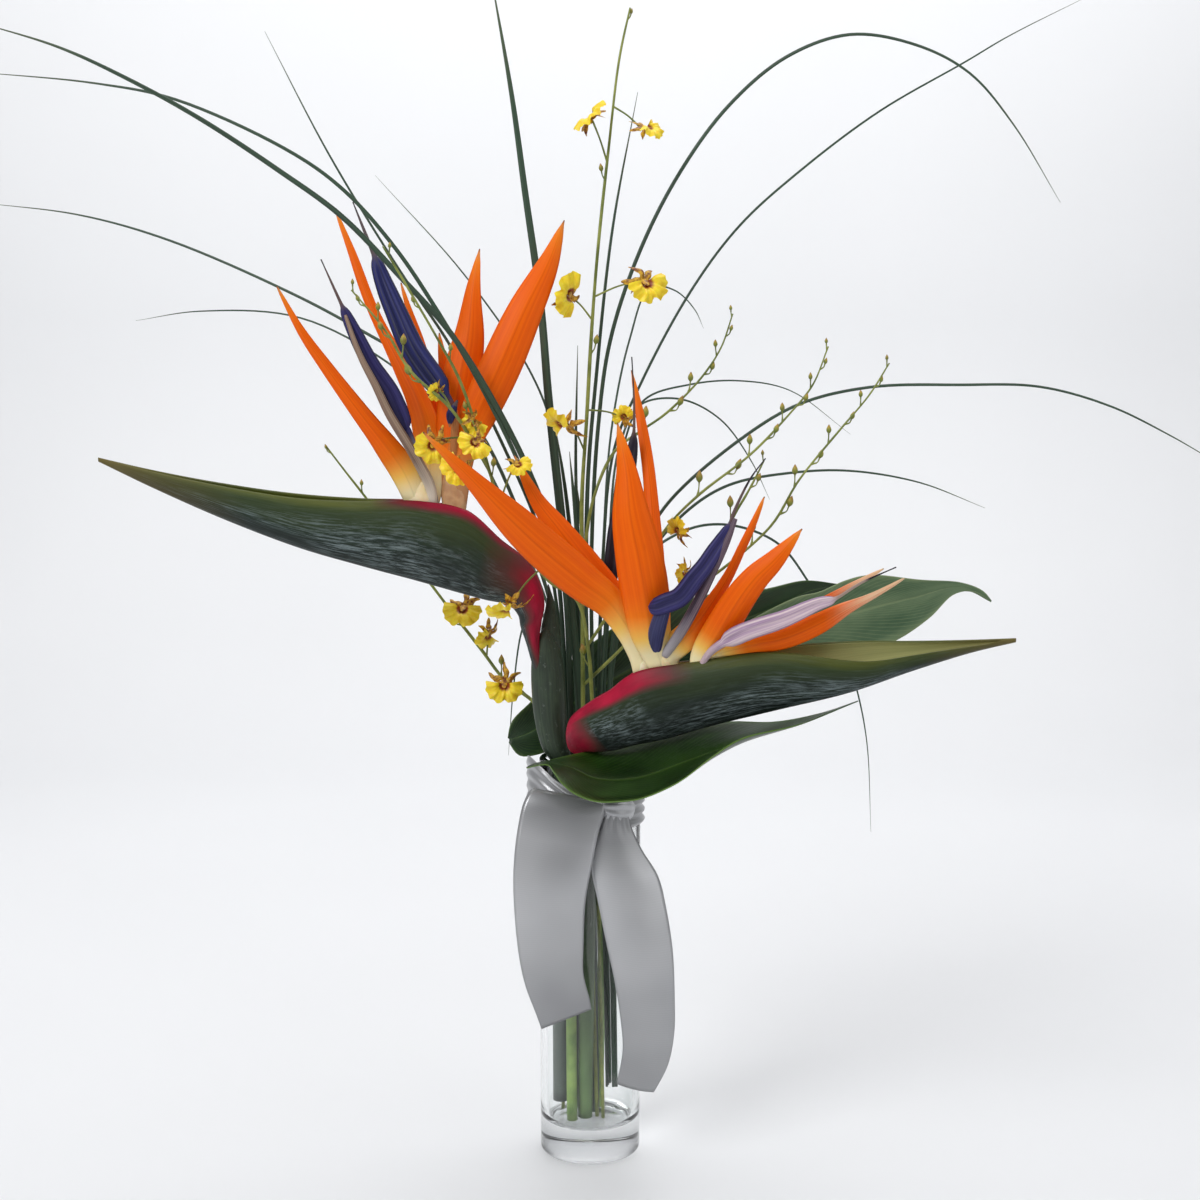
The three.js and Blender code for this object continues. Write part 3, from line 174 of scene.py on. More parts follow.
RIGHT_FLORETS = [
  {
    "foot": [[[27, -43, 236], [26, -43, 248], [24.5, -43.5, 260]], [4.8, 4.9, 4.4], [3, 3.2, 2.8]],
    "sepals": [
      [[[24, -44.5, 256], [11, -51, 280], [-3, -56, 292], [-22, -64, 309], [-35, -70, 322],
        [-53, -77, 341], [-72, -83, 360]], [9, 13, 18, 16.4, 8.4, 0.9], 0.3],
      [[[23, -43, 257], [11, -42, 282], [-1, -41.5, 298], [-14, -41, 315], [-24, -39, 328],
        [-35, -36, 349]], [8, 12, 14, 12, 7, 0.9], 0.3],
    ],
    "arrow": [[23.5, -42.5, 248], [21, -38, 265], [15, -34, 279], [10, -31, 290], [11, -30, 300],
      [13, -28, 316], [17, -26, 333], [20, -24, 349], [21, -23, 360], [21, -21, 375], [20, -18, 395]],
    "head": [0.28, 0.76],
    "width": 8,
  },
  {
    "foot": [[[37, -45.5, 236], [36, -45.5, 249], [34, -46, 261]], [4.6, 4.8, 4.4], [3, 3.2, 2.8]],
    "sepals": [
      [[[32, -46.5, 256], [28, -52, 270], [26, -55, 284], [23, -58, 302], [19, -59, 323],
        [17, -57, 343], [13, -53, 364]], [10, 19, 22, 18.6, 10, 0.9], 0.3],
      [[[34, -44, 257], [31.5, -40, 277], [31, -34, 298], [30, -27, 316], [28, -20, 342],
        [24, -13, 368], [20, -8, 389]], [7, 9, 8, 6, 4.6, 0.9], 0.35],
      [[[37, -47, 257], [46, -52, 268], [56, -54, 282], [64, -53, 295], [70, -50, 307],
        [75, -47, 317], [81, -42, 330]], [8, 12.4, 7, 4.6, 3.4, 0.9], 0.3],
    ],
    "haft": [[[30, -43.6, 246], [29.2, -45.5, 253], [30, -49, 260], [31, -55, 269], [34, -62.5, 281]],
      [2.4, 2.8, 3.4, 3.9, 3.2]],
    "arrow": [[27, -60, 281], [30, -62, 281], [35, -64, 283], [41, -66, 286], [48, -67, 295],
      [52, -67, 300], [56, -65, 306], [63, -62.5, 317], [65, -61, 323], [73, -58, 339], [80, -55, 348]],
    "head": [0, 0.62],
    "width": 9.4,
    "style": [[[35, -47.5, 257], [42, -56, 269], [49, -62, 283], [56, -64.5, 298], [62, -64, 311],
      [66, -62, 321]], [2.2, 2.5, 2.4, 2.1, 1.7, 1]],
  },
  {
    "foot": [[[53, -49.5, 238], [53, -50, 249], [53.5, -51, 259]], [5, 5.2, 4.6], [3, 3.2, 2.6]],
    "sepals": [
      [[[52.5, -51.5, 255], [60, -59.5, 271], [69, -66, 287], [75, -68, 295], [83, -70, 303],
        [95, -72, 317]], [10, 14, 14.6, 12.6, 8.4, 0.9], 0.3],
      [[[56, -52, 256], [72, -59, 263], [88, -64, 267], [103, -68, 274], [115, -69, 281],
        [127, -70, 287], [141, -71, 295]], [7, 8.6, 9.6, 9, 3.6, 0.9], 0.35],
      [[[56, -50.5, 256], [73, -50, 265], [93, -49, 274], [107, -48, 281.5], [119, -47, 288],
        [136, -46, 297]], [5, 5, 5, 4.6, 3.2, 0.9], 0.3],
    ],
    "arrow": [[50.5, -51, 251], [56, -58, 260.5], [69, -69, 270], [87, -74, 277], [102, -76, 284],
      [109, -76, 286], [121, -74, 293], [137, -72, 300]],
    "head": [0.2, 0.71],
    "width": 8.8,
  },
]
LEAF_FRONT = {
  "left": [[-31, -30, 200], [-27, -29.5, 202], [-21, -29, 203.2], [-14, -28.6, 204.8],
    [-6, -27.6, 206.4], [3, -25, 208], [10, -23, 210], [22, -26.5, 213], [36, -33, 218],
    [50, -39, 222.6], [66, -45, 225], [85, -52, 226], [106, -60, 232], [123, -66, 239]],
  "middle": [[-31, -30, 200], [-22, -32, 203], [-10, -36, 202], [3, -44, 198], [22, -53, 200],
    [44, -60, 209], [68, -66, 219.5], [95, -69, 228.5], [123, -66, 239]],
  "right": [[-31, -30, 200], [-20, -36, 203], [-17, -42, 201], [-13, -48, 197], [-7, -56, 194],
    [3, -64, 192], [13, -70, 193], [23, -75, 195], [34, -79, 200], [42, -81, 205], [55, -82, 216],
    [68, -79, 224], [95, -73, 229.5], [123, -66, 239]],
  "petiole": [[-8.8, -7, 16.35], [-9.2, -12, 110], [-9.8, -14.6, 190], [-10, -16.4, 199.5],
    [-10, -20.6, 202.8], [-9.4, -26, 203.8], [-8, -32, 202.6]],
  "radii": [2.6, 2.4, 1.8, 1.6, 1.5, 1.4, 1.1],
}
LEAF_RIGHT = {
  "left": [[28, 18, 221], [34, 20, 228], [60, 24, 252], [90, 26, 270], [106, 28, 277], [116, 28, 279],
    [130, 30, 284.5], [142, 30, 287], [167, 28, 285], [187, 26, 284], [198, 24, 280], [203, 22, 274]],
  "middle": [[28, 18, 221], [60, 21, 241], [95, 24, 256], [130, 28, 267], [165, 29, 276],
    [187, 25, 281.5], [203, 22, 274]],
  "right": [[28, 18, 221], [38, 16, 220], [60, 14, 228], [100, 18, 238], [130, 22, 246],
    [154, 26, 254], [172, 27, 266], [184, 25, 278], [194, 23, 279.5], [203, 22, 274]],
  "petiole": [[4.5, 11, 16.35], [6.5, 12, 110], [9, 13, 197], [14, 15.5, 207],
    [22, 17.5, 216], [34, 19.5, 225.5], [48, 20.5, 233.5]],
  "radii": [2.4, 2.2, 2, 1.8, 1.7, 1.5, 1.1],
}
LEAF_BACK = {
  "left": [[-42, 20, 204], [-40, 22, 213], [-30, 26, 223], [-8, 30, 245], [20, 35, 265], [55, 40, 275],
    [89, 44, 278.5], [111, 47, 283], [129, 48, 281]],
  "middle": [[-42, 20, 204], [-30, 22.5, 208], [-8, 29, 222], [20, 33, 238], [55, 37, 255],
    [89, 42, 267], [112, 46, 277], [129, 48, 281]],
  "right": [[-42, 20, 204], [-36, 19, 196.5], [-27, 21, 196.5], [-10, 27.5, 203], [20, 31, 215],
    [55, 36, 235], [90, 42, 257], [112, 45, 271.5], [129, 48, 281]],
  "petiole": [[-10, 10, 16.35], [-10, 11.5, 110], [-10, 13, 197], [-13, 17, 206],
    [-17, 21, 210], [-21, 24.4, 211], [-27, 24, 209.5]],
  "radii": [2.2, 2.2, 2, 1.7, 1.6, 1.5, 1.1],
}
# blades: widths and routes. slim narrows a bunch's blades.
GRASS = {
  "grass_left": {
    "core": [[-5, 4.5, 16.35], [-6, 5, 110], [-7, 5.5, 199]],
    "core_radius": 3.1,
    "slim": 0.82,
    "blades": [
      [3.4, [[-8, 3, 190], [-9.5, 2, 227], [-14, -2, 297], [-28, -16, 339], [-46, -36, 377],
        [-63, -52, 405], [-83, -67, 428], [-107, -78, 453], [-132, -86, 471], [-163, -94, 491],
        [-191, -100, 506], [-218, -104, 518], [-252, -107, 528]]],
      [2.6, [[-8, 6, 190], [-11.5, 5, 227], [-17, 3, 297], [-31, -17, 339], [-50, -36, 381],
        [-70, -42, 416], [-87, -50, 442], [-108, -56, 466], [-130, -60, 482], [-181, -62, 505],
        [-216, -62, 512], [-270, -62, 517]]],
      [2.2, [[-8, 7, 190], [-12, 14, 225], [-21, 22, 296], [-45, 26, 356], [-70, 26, 403],
        [-94, 24, 439], [-127, 18, 494], [-156, 12, 551]]],
      [2.4, [[-7, 8, 190], [-11, 18, 224], [-19, 28, 268], [-28, 38, 296], [-57, 50, 360],
        [-88, 56, 394], [-112, 60, 408], [-151, 66, 429], [-220, 76, 459], [-269, 82, 473],
        [-322, 87, 480]]],
      [1.8, [[-6, 8, 190], [-10, 20, 224], [-20, 38, 265], [-33, 56, 296], [-64, 76, 355],
        [-103, 92, 392], [-158, 106, 421], [-214, 112, 425], [-250, 114, 420]]],
      [1.8, [[-5, 8, 190], [-7, 18, 225], [-10, 26, 268], [-13, 32, 296], [-19, 38, 360],
        [-31, 42, 391], [-64, 50, 439], [-110, 58, 490]]],
      [1.8, [[-7, 8, 190], [-12, 19, 226], [-18, 29, 248], [-24, 46, 264], [-31, 70, 266],
        [-38, 88, 250], [-43, 97, 216], [-46, 102, 180]]],
    ],
  },
  "grass_middle": {
    "core": [[2.5, 3.5, 16.35], [1, 2, 110], [-1, 0.8, 203]],
    "core_radius": 2.8,
    "slim": 1,
    "blades": [
      [4.6, [[-3, 0, 190], [-4.6, 0, 228], [-9.5, 4.5, 277], [-15, 6, 327], [-20, 6, 375],
        [-24, 7, 423], [-31, 6, 474], [-37, 2, 519], [-46, -4, 572]]],
      [2.4, [[0, 2, 190], [-1.6, 4.6, 227], [-2, 9.6, 276], [-1, 12, 336], [3, 12, 385],
        [11, 8, 457], [23, 4, 521]]],
      [3, [[-2, 2, 190], [-4, 5, 230], [-7, 9.5, 280], [-12, 12, 330], [-17, 15, 362]]],
      [3, [[-1, 1, 190], [-2.4, 1.4, 230], [-4.6, 4, 280], [-7.4, 7, 322], [-10, 9, 350]]],
      [2.8, [[-1, 0, 190], [-1.4, 1.6, 230], [-2, 5, 272], [-4, 8.5, 310], [-7, 11, 338]]],
      [2.6, [[-1, 1, 190], [-2, 6.4, 230], [-2.4, 13, 280], [-1, 17, 330], [1, 19, 372]]],
      [2.6, [[-1, 3, 190], [-3, 8, 235], [-5, 13, 285], [-7, 16, 340], [-6, 18, 402]]],
    ],
  },
  "grass_right": {
    "core": [[11, 1, 30], [9.5, 2, 110], [5.3, 3.3, 199]],
    "core_radius": 4,
    "slim": 0.7,
    "blades": [
      [2.8, [[4, 2.5, 190], [1.8, 4.6, 227], [0.8, 6, 297], [4, 6, 361], [10, 7, 404], [24, 6, 446],
        [43, 4, 483], [66, 2, 514], [93, -2, 536], [122, -8, 545], [152, -14, 539], [176, -20, 525],
        [196, -24, 501], [217, -30, 465]]],
      [2, [[6, 4, 190], [5, 8, 226], [6.5, 12, 296], [12, 18, 351], [25, 20, 383], [50, 24, 429],
        [74, 26, 461], [104, 28, 488], [143, 30, 517], [185, 32, 541], [207, 34, 554],
        [245, 36, 573]]],
      [1.8, [[5, 6, 190], [4.2, 11, 224], [5, 24, 272], [6.5, 40, 300], [11, 75, 360],
        [21, 96, 409], [32, 104, 437], [46, 110, 436], [57, 114, 426], [62, 116, 416]]],
      [1.8, [[7, 5, 190], [6.6, 11, 224], [8, 24, 276], [10, 36, 306], [17, 50, 352],
        [28, 58, 376], [52, 62, 384], [78, 66, 386], [105, 70, 381], [138, 76, 358]]],
      [2, [[7, 6, 190], [7.2, 13, 223], [8, 26, 270], [9.5, 42, 298], [15, 80, 350], [27, 96, 374],
        [49, 102, 377], [71, 106, 366], [88, 110, 344], [99, 112, 322]]],
      [2.4, [[8, 3, 190], [9, 5, 227], [14.5, 8, 277], [27, 6, 307], [40, 4, 327], [73, 0, 356],
        [101, -4, 373], [134, -8, 381], [176, -14, 382], [213, -18, 381], [245, -22, 372],
        [273, -26, 358], [300, -29, 342]]],
      [2.4, [[8, 4, 190], [9.5, 8, 225], [17, 17, 271], [31, 24, 300], [50, 26, 321], [70, 28, 333],
        [101, 30, 339], [131, 32, 340], [167, 34, 334], [201, 36, 321]]],
      [2.2, [[8, 6, 190], [10, 12, 224], [13, 22, 258], [19, 36, 281], [31, 55, 297], [59, 84, 309],
        [81, 92, 308], [103, 96, 298], [119, 99, 278], [138, 102, 245], [148, 104, 216],
        [154, 104, 186], [157, 104, 136]]],
      [2.6, [[5, 4, 190], [5.4, 5, 230], [9, 4, 280], [13, 3, 316], [18, 3, 342]]],
      [2.6, [[6, 5, 190], [7, 9, 232], [10, 13, 276], [16, 17, 322]]],
    ],
  },
}
# branches: routes and numbers of buds. flowers: place, the point by which its stalk leaves the
# spray, size, turn, nod and roll.
ORCHIDS = {
  "orchid_spray_tall": {
    "stem": [[3.5, -2.5, 16.35], [0.6, -3.8, 110], [-3, -5, 197], [-3.4, -4.6, 240],
      [-3.6, -3, 290], [-3.8, -2.4, 327], [-1.5, -4, 365], [1, -6, 408], [4, -8, 446], [9, -10, 492],
      [14, -12, 533], [19, -13, 556]],
    "radius": 1.026,
    "buds": 4,
    "branches": [
      [[[-3.7, -3, 296], [2, -2.4, 328], [12, 4, 350], [25, 12, 360], [38, 18, 369], [55, 22, 386],
        [65, 24, 401], [71, 26, 418]], 7],
      [[[-3.6, -4, 252], [7, -5.6, 268], [24, -7, 294], [40, -8, 317], [53, -10, 330], [77, -12, 349],
        [95, -14, 368], [106, -15, 382], [113, -16, 400]], 9],
      [[[-3.4, -4.6, 236], [11, -6, 250], [29, -6, 268], [49, -7, 283], [63, -10, 293],
        [87, -14, 315], [100, -16, 337], [119, -18, 361], [132, -20, 377], [141, -22, 392]], 9],
      [[[55, -8.3, 287.3], [68, -6, 316], [77, -7, 332], [84, -8, 346]], 3],
    ],
    "flowers": [
      [[1, -15, 505], [8, -10.6, 486], 1, 0, 1.15, -0.75],
      [[25, -15, 501], [12, -11.6, 512], 0.85, 1, 0, -0.9],
      [[-9, -13, 424], [1.6, -6.6, 412], 1.15, 0, 0.8, 1.85],
      [[25, -15, 431], [2, -7, 424], 1.1, 0.5, 0.1, -0.35],
      [[-10, -13, 363], [-3, -3, 350], 1.1, 1.15, 0, 2.4],
      [[18, 3, 366], [-1, -4, 370], 0.65, 0.5, 0, 2.6],
      [[44, -15, 311], [38, -8, 314], 0.8, 1, 0, 3],
      [[46, -14, 294], [49, -7, 284], 0.65, 0.6, 0.4, 1.2],
    ],
  },
  "orchid_spray_front": {
    "stem": [[6.5, -5, 16.35], [4.5, -5, 110], [3, -5.6, 197], [1, -8, 232], [-0.6, -11, 254],
      [-6, -22, 280], [-19, -31, 290], [-32, -38, 308], [-41, -43, 326], [-48, -49, 351],
      [-58, -58, 383], [-67, -66, 401], [-78, -74, 421], [-89, -79, 440]],
    "radius": 0.912,
    "buds": 8,
    "branches": [
      [[[-46, -47, 343], [-62, -56, 370], [-80, -58, 387], [-91, -58, 405], [-106, -58, 423]], 6],
    ],
    "flowers": [
      [[-69, -64, 356], [-50, -51, 356], 0.9, 0.4, 0, 0.7],
      [[-51, -63, 356], [-44.5, -46, 337], 0.85, 0.2, 0.5, 0.5],
      [[-52, -58, 365], [-46, -48, 341], 0.72, 2.7, 0.3, 0.5],
      [[-68, -55, 379], [-62, -56, 370], 0.5, 0.6, 0.3, 1.4],
      [[-57, -67, 344], [-47, -48, 349], 0.85, -0.2, 0.3, 1],
      [[-34, -48, 345], [-41, -43, 327], 0.7, 0.6, 0.4, -0.6],
      [[-36, -41, 280], [-24, -34, 295], 1.1, 1.15, 0, 1.57],
    ],
  },
  "orchid_spray_low": {
    "stem": [[-14.2, 8, 16.35], [-14, 6.5, 110], [-14, 5, 196], [-17, 7, 208], [-28, 16, 224],
      [-43, 24, 234], [-56, 29, 250], [-72, 33, 270], [-82, 35, 283], [-97, 37, 303],
      [-115, 38, 327], [-125, 38, 340], [-134, 38, 352]],
    "radius": 0.912,
    "buds": 7,
    "branches": [],
    "flowers": [
      [[-64, 27, 272], [-70, 32.6, 268], 1.05, -0.1, 0.35, 0.1],
      [[-51, 27, 259], [-53, 28, 246], 0.85, 0.9, 0, 0.9],
      [[-43, 13, 236], [-30, 17.4, 225], 1, 0.1, 0, 0],
    ],
  },
}

# ---- camera: the photograph's viewpoint ----
lens = bpy.data.cameras.new("camera")
lens.lens = 50
lens.sensor_width = 36
camera = bpy.data.objects.new("camera", lens)
camera.location = (0.005, -0.8125, 0.3631)
camera.rotation_euler = (math.radians(84), 0, 0)
bpy.context.scene.collection.objects.link(camera)
bpy.context.scene.camera = camera


# ---- small helpers ----
def unit(v):
    return v / max(np.linalg.norm(v), 1e-9)


def lerp(a, b, t):
    return a + (b - a) * t


def smooth_step(low, high, x):
    t = min(max((x - low) / (high - low), 0), 1)
    return t * t * (3 - 2 * t)


def steps(count):
    return [i / count for i in range(count + 1)]


def first(values):
    return values[0]


def span_at(stations, t):
    """The station before t, from 0 to 1, and the share of the way to the next one."""
    s = min(max(t, 0), 1) * (len(stations) - 1)
    i = min(int(s), len(stations) - 2)
    return i, s - i


def smooth_along(stations, t):
    """Reads a value between evenly spaced stations, with a rounded passage through them."""
    i, f = span_at(stations, t)
    a, b = stations[i], stations[i + 1]
    before = stations[i - 1] if i else 2 * a - b
    after = stations[i + 2] if i + 2 < len(stations) else 2 * b - a
    m0, m1 = (b - before) / 2, (after - a) / 2
    return lerp(a, b, smooth_step(0, 1, f)) + f * (1 - f) * ((1 - f) * m0 - f * m1)


class Route:
    """A centripetal Catmull-Rom curve through its points, in millimetres."""

    def __init__(self, points):
        self.points = [np.array(p, float) for p in points]
        self.dense = np.array([self.point(t) for t in steps(SAMPLES * (len(points) - 1))])
        spans = np.linalg.norm(np.diff(self.dense, axis=0), axis=1)
        self.lengths = np.concatenate([[0], np.cumsum(spans)])

    def point(self, t):
        """The point at t from 0 to 1, with the same share of t for each span."""
        i, f = span_at(self.points, t)
        b, c = self.points[i], self.points[i + 1]
        a = self.points[i - 1] if i else 2 * b - c
        d = self.points[i + 2] if i + 2 < len(self.points) else 2 * c - b
        d0, d1, d2 = (max(np.linalg.norm(q - p), 1e-4) ** 0.5 for p, q in ((a, b), (b, c), (c, d)))
        m0 = ((b - a) / d0 - (c - a) / (d0 + d1) + (c - b) / d1) * d1
        m1 = ((c - b) / d1 - (d - b) / (d1 + d2) + (d - c) / d2) * d1
        return b + m0 * f + (3 * (c - b) - 2 * m0 - m1) * f ** 2 + (2 * (b - c) + m0 + m1) * f ** 3

    def at(self, u):
        """The point at the share u of the route's length."""
        want = min(max(u, 0), 1) * self.lengths[-1]
        return np.array([np.interp(want, self.lengths, self.dense[:, k]) for k in range(3)])

    def ahead(self, t):
        return unit(self.point(min(t + 0.002, 1)) - self.point(max(t - 0.002, 0)))

    def ahead_at(self, u):
        return unit(self.at(min(u + 0.004, 1)) - self.at(max(u - 0.004, 0)))


def front_side(ahead):
    """The direction across a route that lies in the front view."""
    side = np.cross(AWAY, ahead)
    if np.linalg.norm(side) < 0.2:
        side = side + 0.5 * np.cross(UP, ahead)
    return unit(side)


def turned(v, axis, angle):
    """v turned about a unit axis."""
    c, s = math.cos(angle), math.sin(angle)
    return v * c + np.cross(axis, v) * s + axis * np.dot(axis, v) * (1 - c)


# ---- meshes ----
class Mesh:
    """Gathers skins of points with their map coordinates and materials, then makes one object."""

    def __init__(self):
        self.points, self.faces, self.maps, self.kinds = [], [], [], []

    def face(self, corners, maps, kind):
        self.faces.append(corners)
        self.maps += maps
        self.kinds.append(kind)

    def skin(self, section, places, cols, kind=0, closed=False, v_at=lambda place: place):
        """A row of points for each place. section(place) gives a function from u, 0 to 1 across,
        to a point. v_at(place) is the row's map coordinate. closed joins each row's end to its
        start and caps the first and last rows."""
        base, width = len(self.points), cols if closed else cols + 1
        for place in places:
            draw = section(place)
            self.points += [draw(j / cols) for j in range(width)]
        vs = [v_at(place) for place in places]
        for i in range(len(places) - 1):
            low = base + i * width
            high = low + width
            for j in range(cols):
                k, u, w = (j + 1) % width, j / cols, (j + 1) / cols
                self.face((low + j, low + k, high + k, high + j),
                          [(u, vs[i]), (w, vs[i]), (w, vs[i + 1]), (u, vs[i + 1])], kind)
        if closed:
            self.face(range(base, base + width)[::-1], [(0, vs[0])] * width, kind)
            self.face(range(len(self.points) - width, len(self.points)), [(0, vs[-1])] * width, kind)

    def make(self, name, materials, thick=0.0, inside=0):
        """inside is how many materials on from the outer one the inner wall's is."""
        data = bpy.data.meshes.new(name)
        data.from_pydata([tuple(p * MM) for p in self.points], [], [tuple(f) for f in self.faces])
        data.uv_layers.new(name="map").data.foreach_set("uv", [c for uv in self.maps for c in uv])
        for material in materials:
            data.materials.append(material)
        data.polygons.foreach_set("material_index", self.kinds)
        data.polygons.foreach_set("use_smooth", [True] * len(self.faces))
        form = bmesh.new()
        form.from_mesh(data)
        bmesh.ops.recalc_face_normals(form, faces=form.faces)
        form.to_mesh(data)
        form.free()
        piece = bpy.data.objects.new(name, data)
        bpy.context.scene.collection.objects.link(piece)
        if thick:
            body = piece.modifiers.new("body", "SOLIDIFY")
            body.thickness = thick * MM
            body.offset = 0
            body.use_even_offset = False
            body.material_offset = inside
        return piece

    def piece(self, name, slot, node, *materials, **body):
        """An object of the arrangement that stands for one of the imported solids."""
        piece = self.make(name, materials, **body)
        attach(piece, "root")
        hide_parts(node)
        return piece


def ring(centre, ahead, half, deep, swell=lambda angle: (1, 1)):
    """A closed section about a route, half across the front view and deep from front to back.
    swell(angle) scales the two."""
    side = front_side(ahead)
    back = -np.cross(side, ahead)

    def draw(u):
        wide, thick = swell(TURN * u)
        return (centre + side * (math.cos(TURN * u) * half * wide)
                + back * (math.sin(TURN * u) * deep * thick))

    return draw


def add_tube(mesh, route, across, deep=None, sides=16, rows=8, kind=0, wobble=0.0):
    """A stem along a route, closed at both ends, with rows to each span. across and deep are its
    half widths at even stations, across the front view and from front to back."""
    path = Route(route)

    def section(t):
        half = max(smooth_along(across, t), 0.05) * (1 + wobble * math.sin(37 * t + 3 * len(route)))
        return ring(path.point(t), path.ahead(t), half, max(smooth_along(deep or across, t), 0.05))

    mesh.skin(section, steps((len(route) - 1) * rows), sides, kind, closed=True)


# ---- materials ----
def linear(colour):
    """A display colour, 0 to 255, as the linear colour that shaders take."""
    parts = [c / 255 for c in colour]
    return tuple([c / 12.92 if c <= 0.04045 else ((c + 0.055) / 1.055) ** 2.4 for c in parts] + [1.0])


class Look:
    """A node material on one Principled shader, with helpers for its maps. Its colours are
    display colours, 0 to 255."""

    def __init__(self, name, roughness=0.5, **sockets):
        self.material = bpy.data.materials.new(name)
        self.material.use_nodes = True
        self.tree = self.material.node_tree
        self.shader = self.tree.nodes["Principled BSDF"]
        for key, value in dict(sockets, Roughness=roughness).items():
            self.shader.inputs[key.replace("_", " ")].default_value = value
        split = self.node("ShaderNodeSeparateXYZ", {0: self.node("ShaderNodeUVMap", uv_map="map")[0]})
        self.u, self.v = split[0], split[1]
        self.place = self.node("ShaderNodeTexCoord")["Object"]

    def node(self, kind, inputs=None, **settings):
        node = self.tree.nodes.new(kind)
        for key, value in settings.items():
            setattr(node, key, value)
        for key, value in (inputs or {}).items():
            if isinstance(value, bpy.types.NodeSocket):
                self.tree.links.new(value, node.inputs[key])
            else:
                node.inputs[key].default_value = value
        return node.outputs

    def math(self, operation, *values):
        return self.node("ShaderNodeMath", dict(enumerate(values)), operation=operation)[0]

    def times(self, a, b):
        return self.math("MULTIPLY", a, b)

    def plus(self, a, b):
        return self.math("ADD", a, b)

    def off_middle(self):
        """The distance in u from the map's middle line."""
        return self.math("ABSOLUTE", self.math("SUBTRACT", self.u, 0.5))

    def object_axis(self, axis):
        return self.node("ShaderNodeSeparateXYZ", {0: self.place})[axis]

    def ramp(self, factor, *stops):
        """A colour ramp. Each stop is (place, value or colour)."""
        node = self.tree.nodes.new("ShaderNodeValToRGB")
        self.tree.links.new(factor, node.inputs[0])
        marks = node.color_ramp.elements
        while len(marks) < len(stops):
            marks.new(0.5)
        for mark, (place, value) in zip(marks, stops):
            mark.position = place
            mark.color = linear(value) if isinstance(value, tuple) else (value, value, value, 1)
        return node.outputs[0]

    def blend(self, factor, start, end, low=0.3, high=0.7):
        return self.ramp(factor, (low, start), (high, end))

    def noise(self, vector, scale=1.0, detail=3.0, rough=0.55):
        return self.node("ShaderNodeTexNoise", {"Vector": vector, "Scale": scale, "Detail": detail,
                                                "Roughness": rough})[0]

    def streaks(self, across, lengthwise, detail=3.0, seed=0.0, rough=0.55):
        """A noise on map coordinates that are scaled apart, so that it runs in streaks."""
        place = {0: self.times(self.u, across), 1: self.times(self.v, lengthwise), 2: seed}
        return self.noise(self.node("ShaderNodeCombineXYZ", place)[0], 1.0, detail, rough)

    def mix(self, factor, start, end, blend="MIX"):
        start, end = (linear(c) if isinstance(c, tuple) else c for c in (start, end))
        return self.node("ShaderNodeMix", {0: factor, 6: start, 7: end}, data_type="RGBA",
                         blend_type=blend)[2]

    def colour(self, socket):
        self.tree.links.new(socket, self.shader.inputs["Base Color"])

    def gloss(self, socket):
        self.tree.links.new(socket, self.shader.inputs["Roughness"])

    def bump(self, height, distance, strength=0.6):
        out = self.node("ShaderNodeBump", {"Height": height, "Distance": distance * MM,
                                           "Strength": strength})[0]
        self.tree.links.new(out, self.shader.inputs["Normal"])


def glass_look():
    """Clear, with painted shade in its thick base: a grey tint towards the bottom."""
    look = Look("clear_glass", roughness=0.0, Transmission_Weight=1.0, IOR=1.47)
    clear = look.blend(look.noise(look.place, 60, 2), (246, 250, 249), (255, 255, 255))
    # painted shade: the base darkens to grey towards the bottom
    painted_base_shade = look.ramp(look.object_axis(2), (0.0, 1.0), (0.004, 0.6), (0.014, 0.25), (0.016, 0.0))
    look.colour(look.mix(painted_base_shade, clear, (160, 162, 164)))
    look.bump(look.noise(look.place, 18, 1), 0.05, 0.1)
    return look.material


def ribbon_look():
    """Grey satin with fine threads. Along each tail, and round the band, light is painted in: a painted
    shadow at its top, a painted highlight below that and painted shade further down.
    """
    look = Look("satin", roughness=0.36, Metallic=0.6, Sheen_Weight=0.3, Sheen_Roughness=0.35,
                Specular_IOR_Level=0.6)
    weft = look.math("SINE", look.times(look.v, 2600.0))
    shade = look.noise(look.place, 16, 2)
    # painted light along v: painted shadow at the top, a painted highlight below it, painted shade
    # further down
    painted_highlight_and_shadow = look.ramp(look.v, (0.0, 0.62), (0.035, 0.68), (0.07, 1.0), (0.13, 0.94), (0.22, 0.8),
                     (0.3, 0.7), (0.34, 0.85))
    base = look.mix(1.0, look.blend(shade, (176, 177, 180), (204, 205, 207)), painted_highlight_and_shadow, "MULTIPLY")
    threads = look.ramp(look.math("MULTIPLY_ADD", weft, 0.5, 0.5), (0, 0.96), (1, 1.0))
    look.colour(look.mix(1.0, base, threads, "MULTIPLY"))
    look.gloss(look.blend(shade, 0.3, 0.42))
    look.bump(weft, 0.03, 0.2)
    return look.material


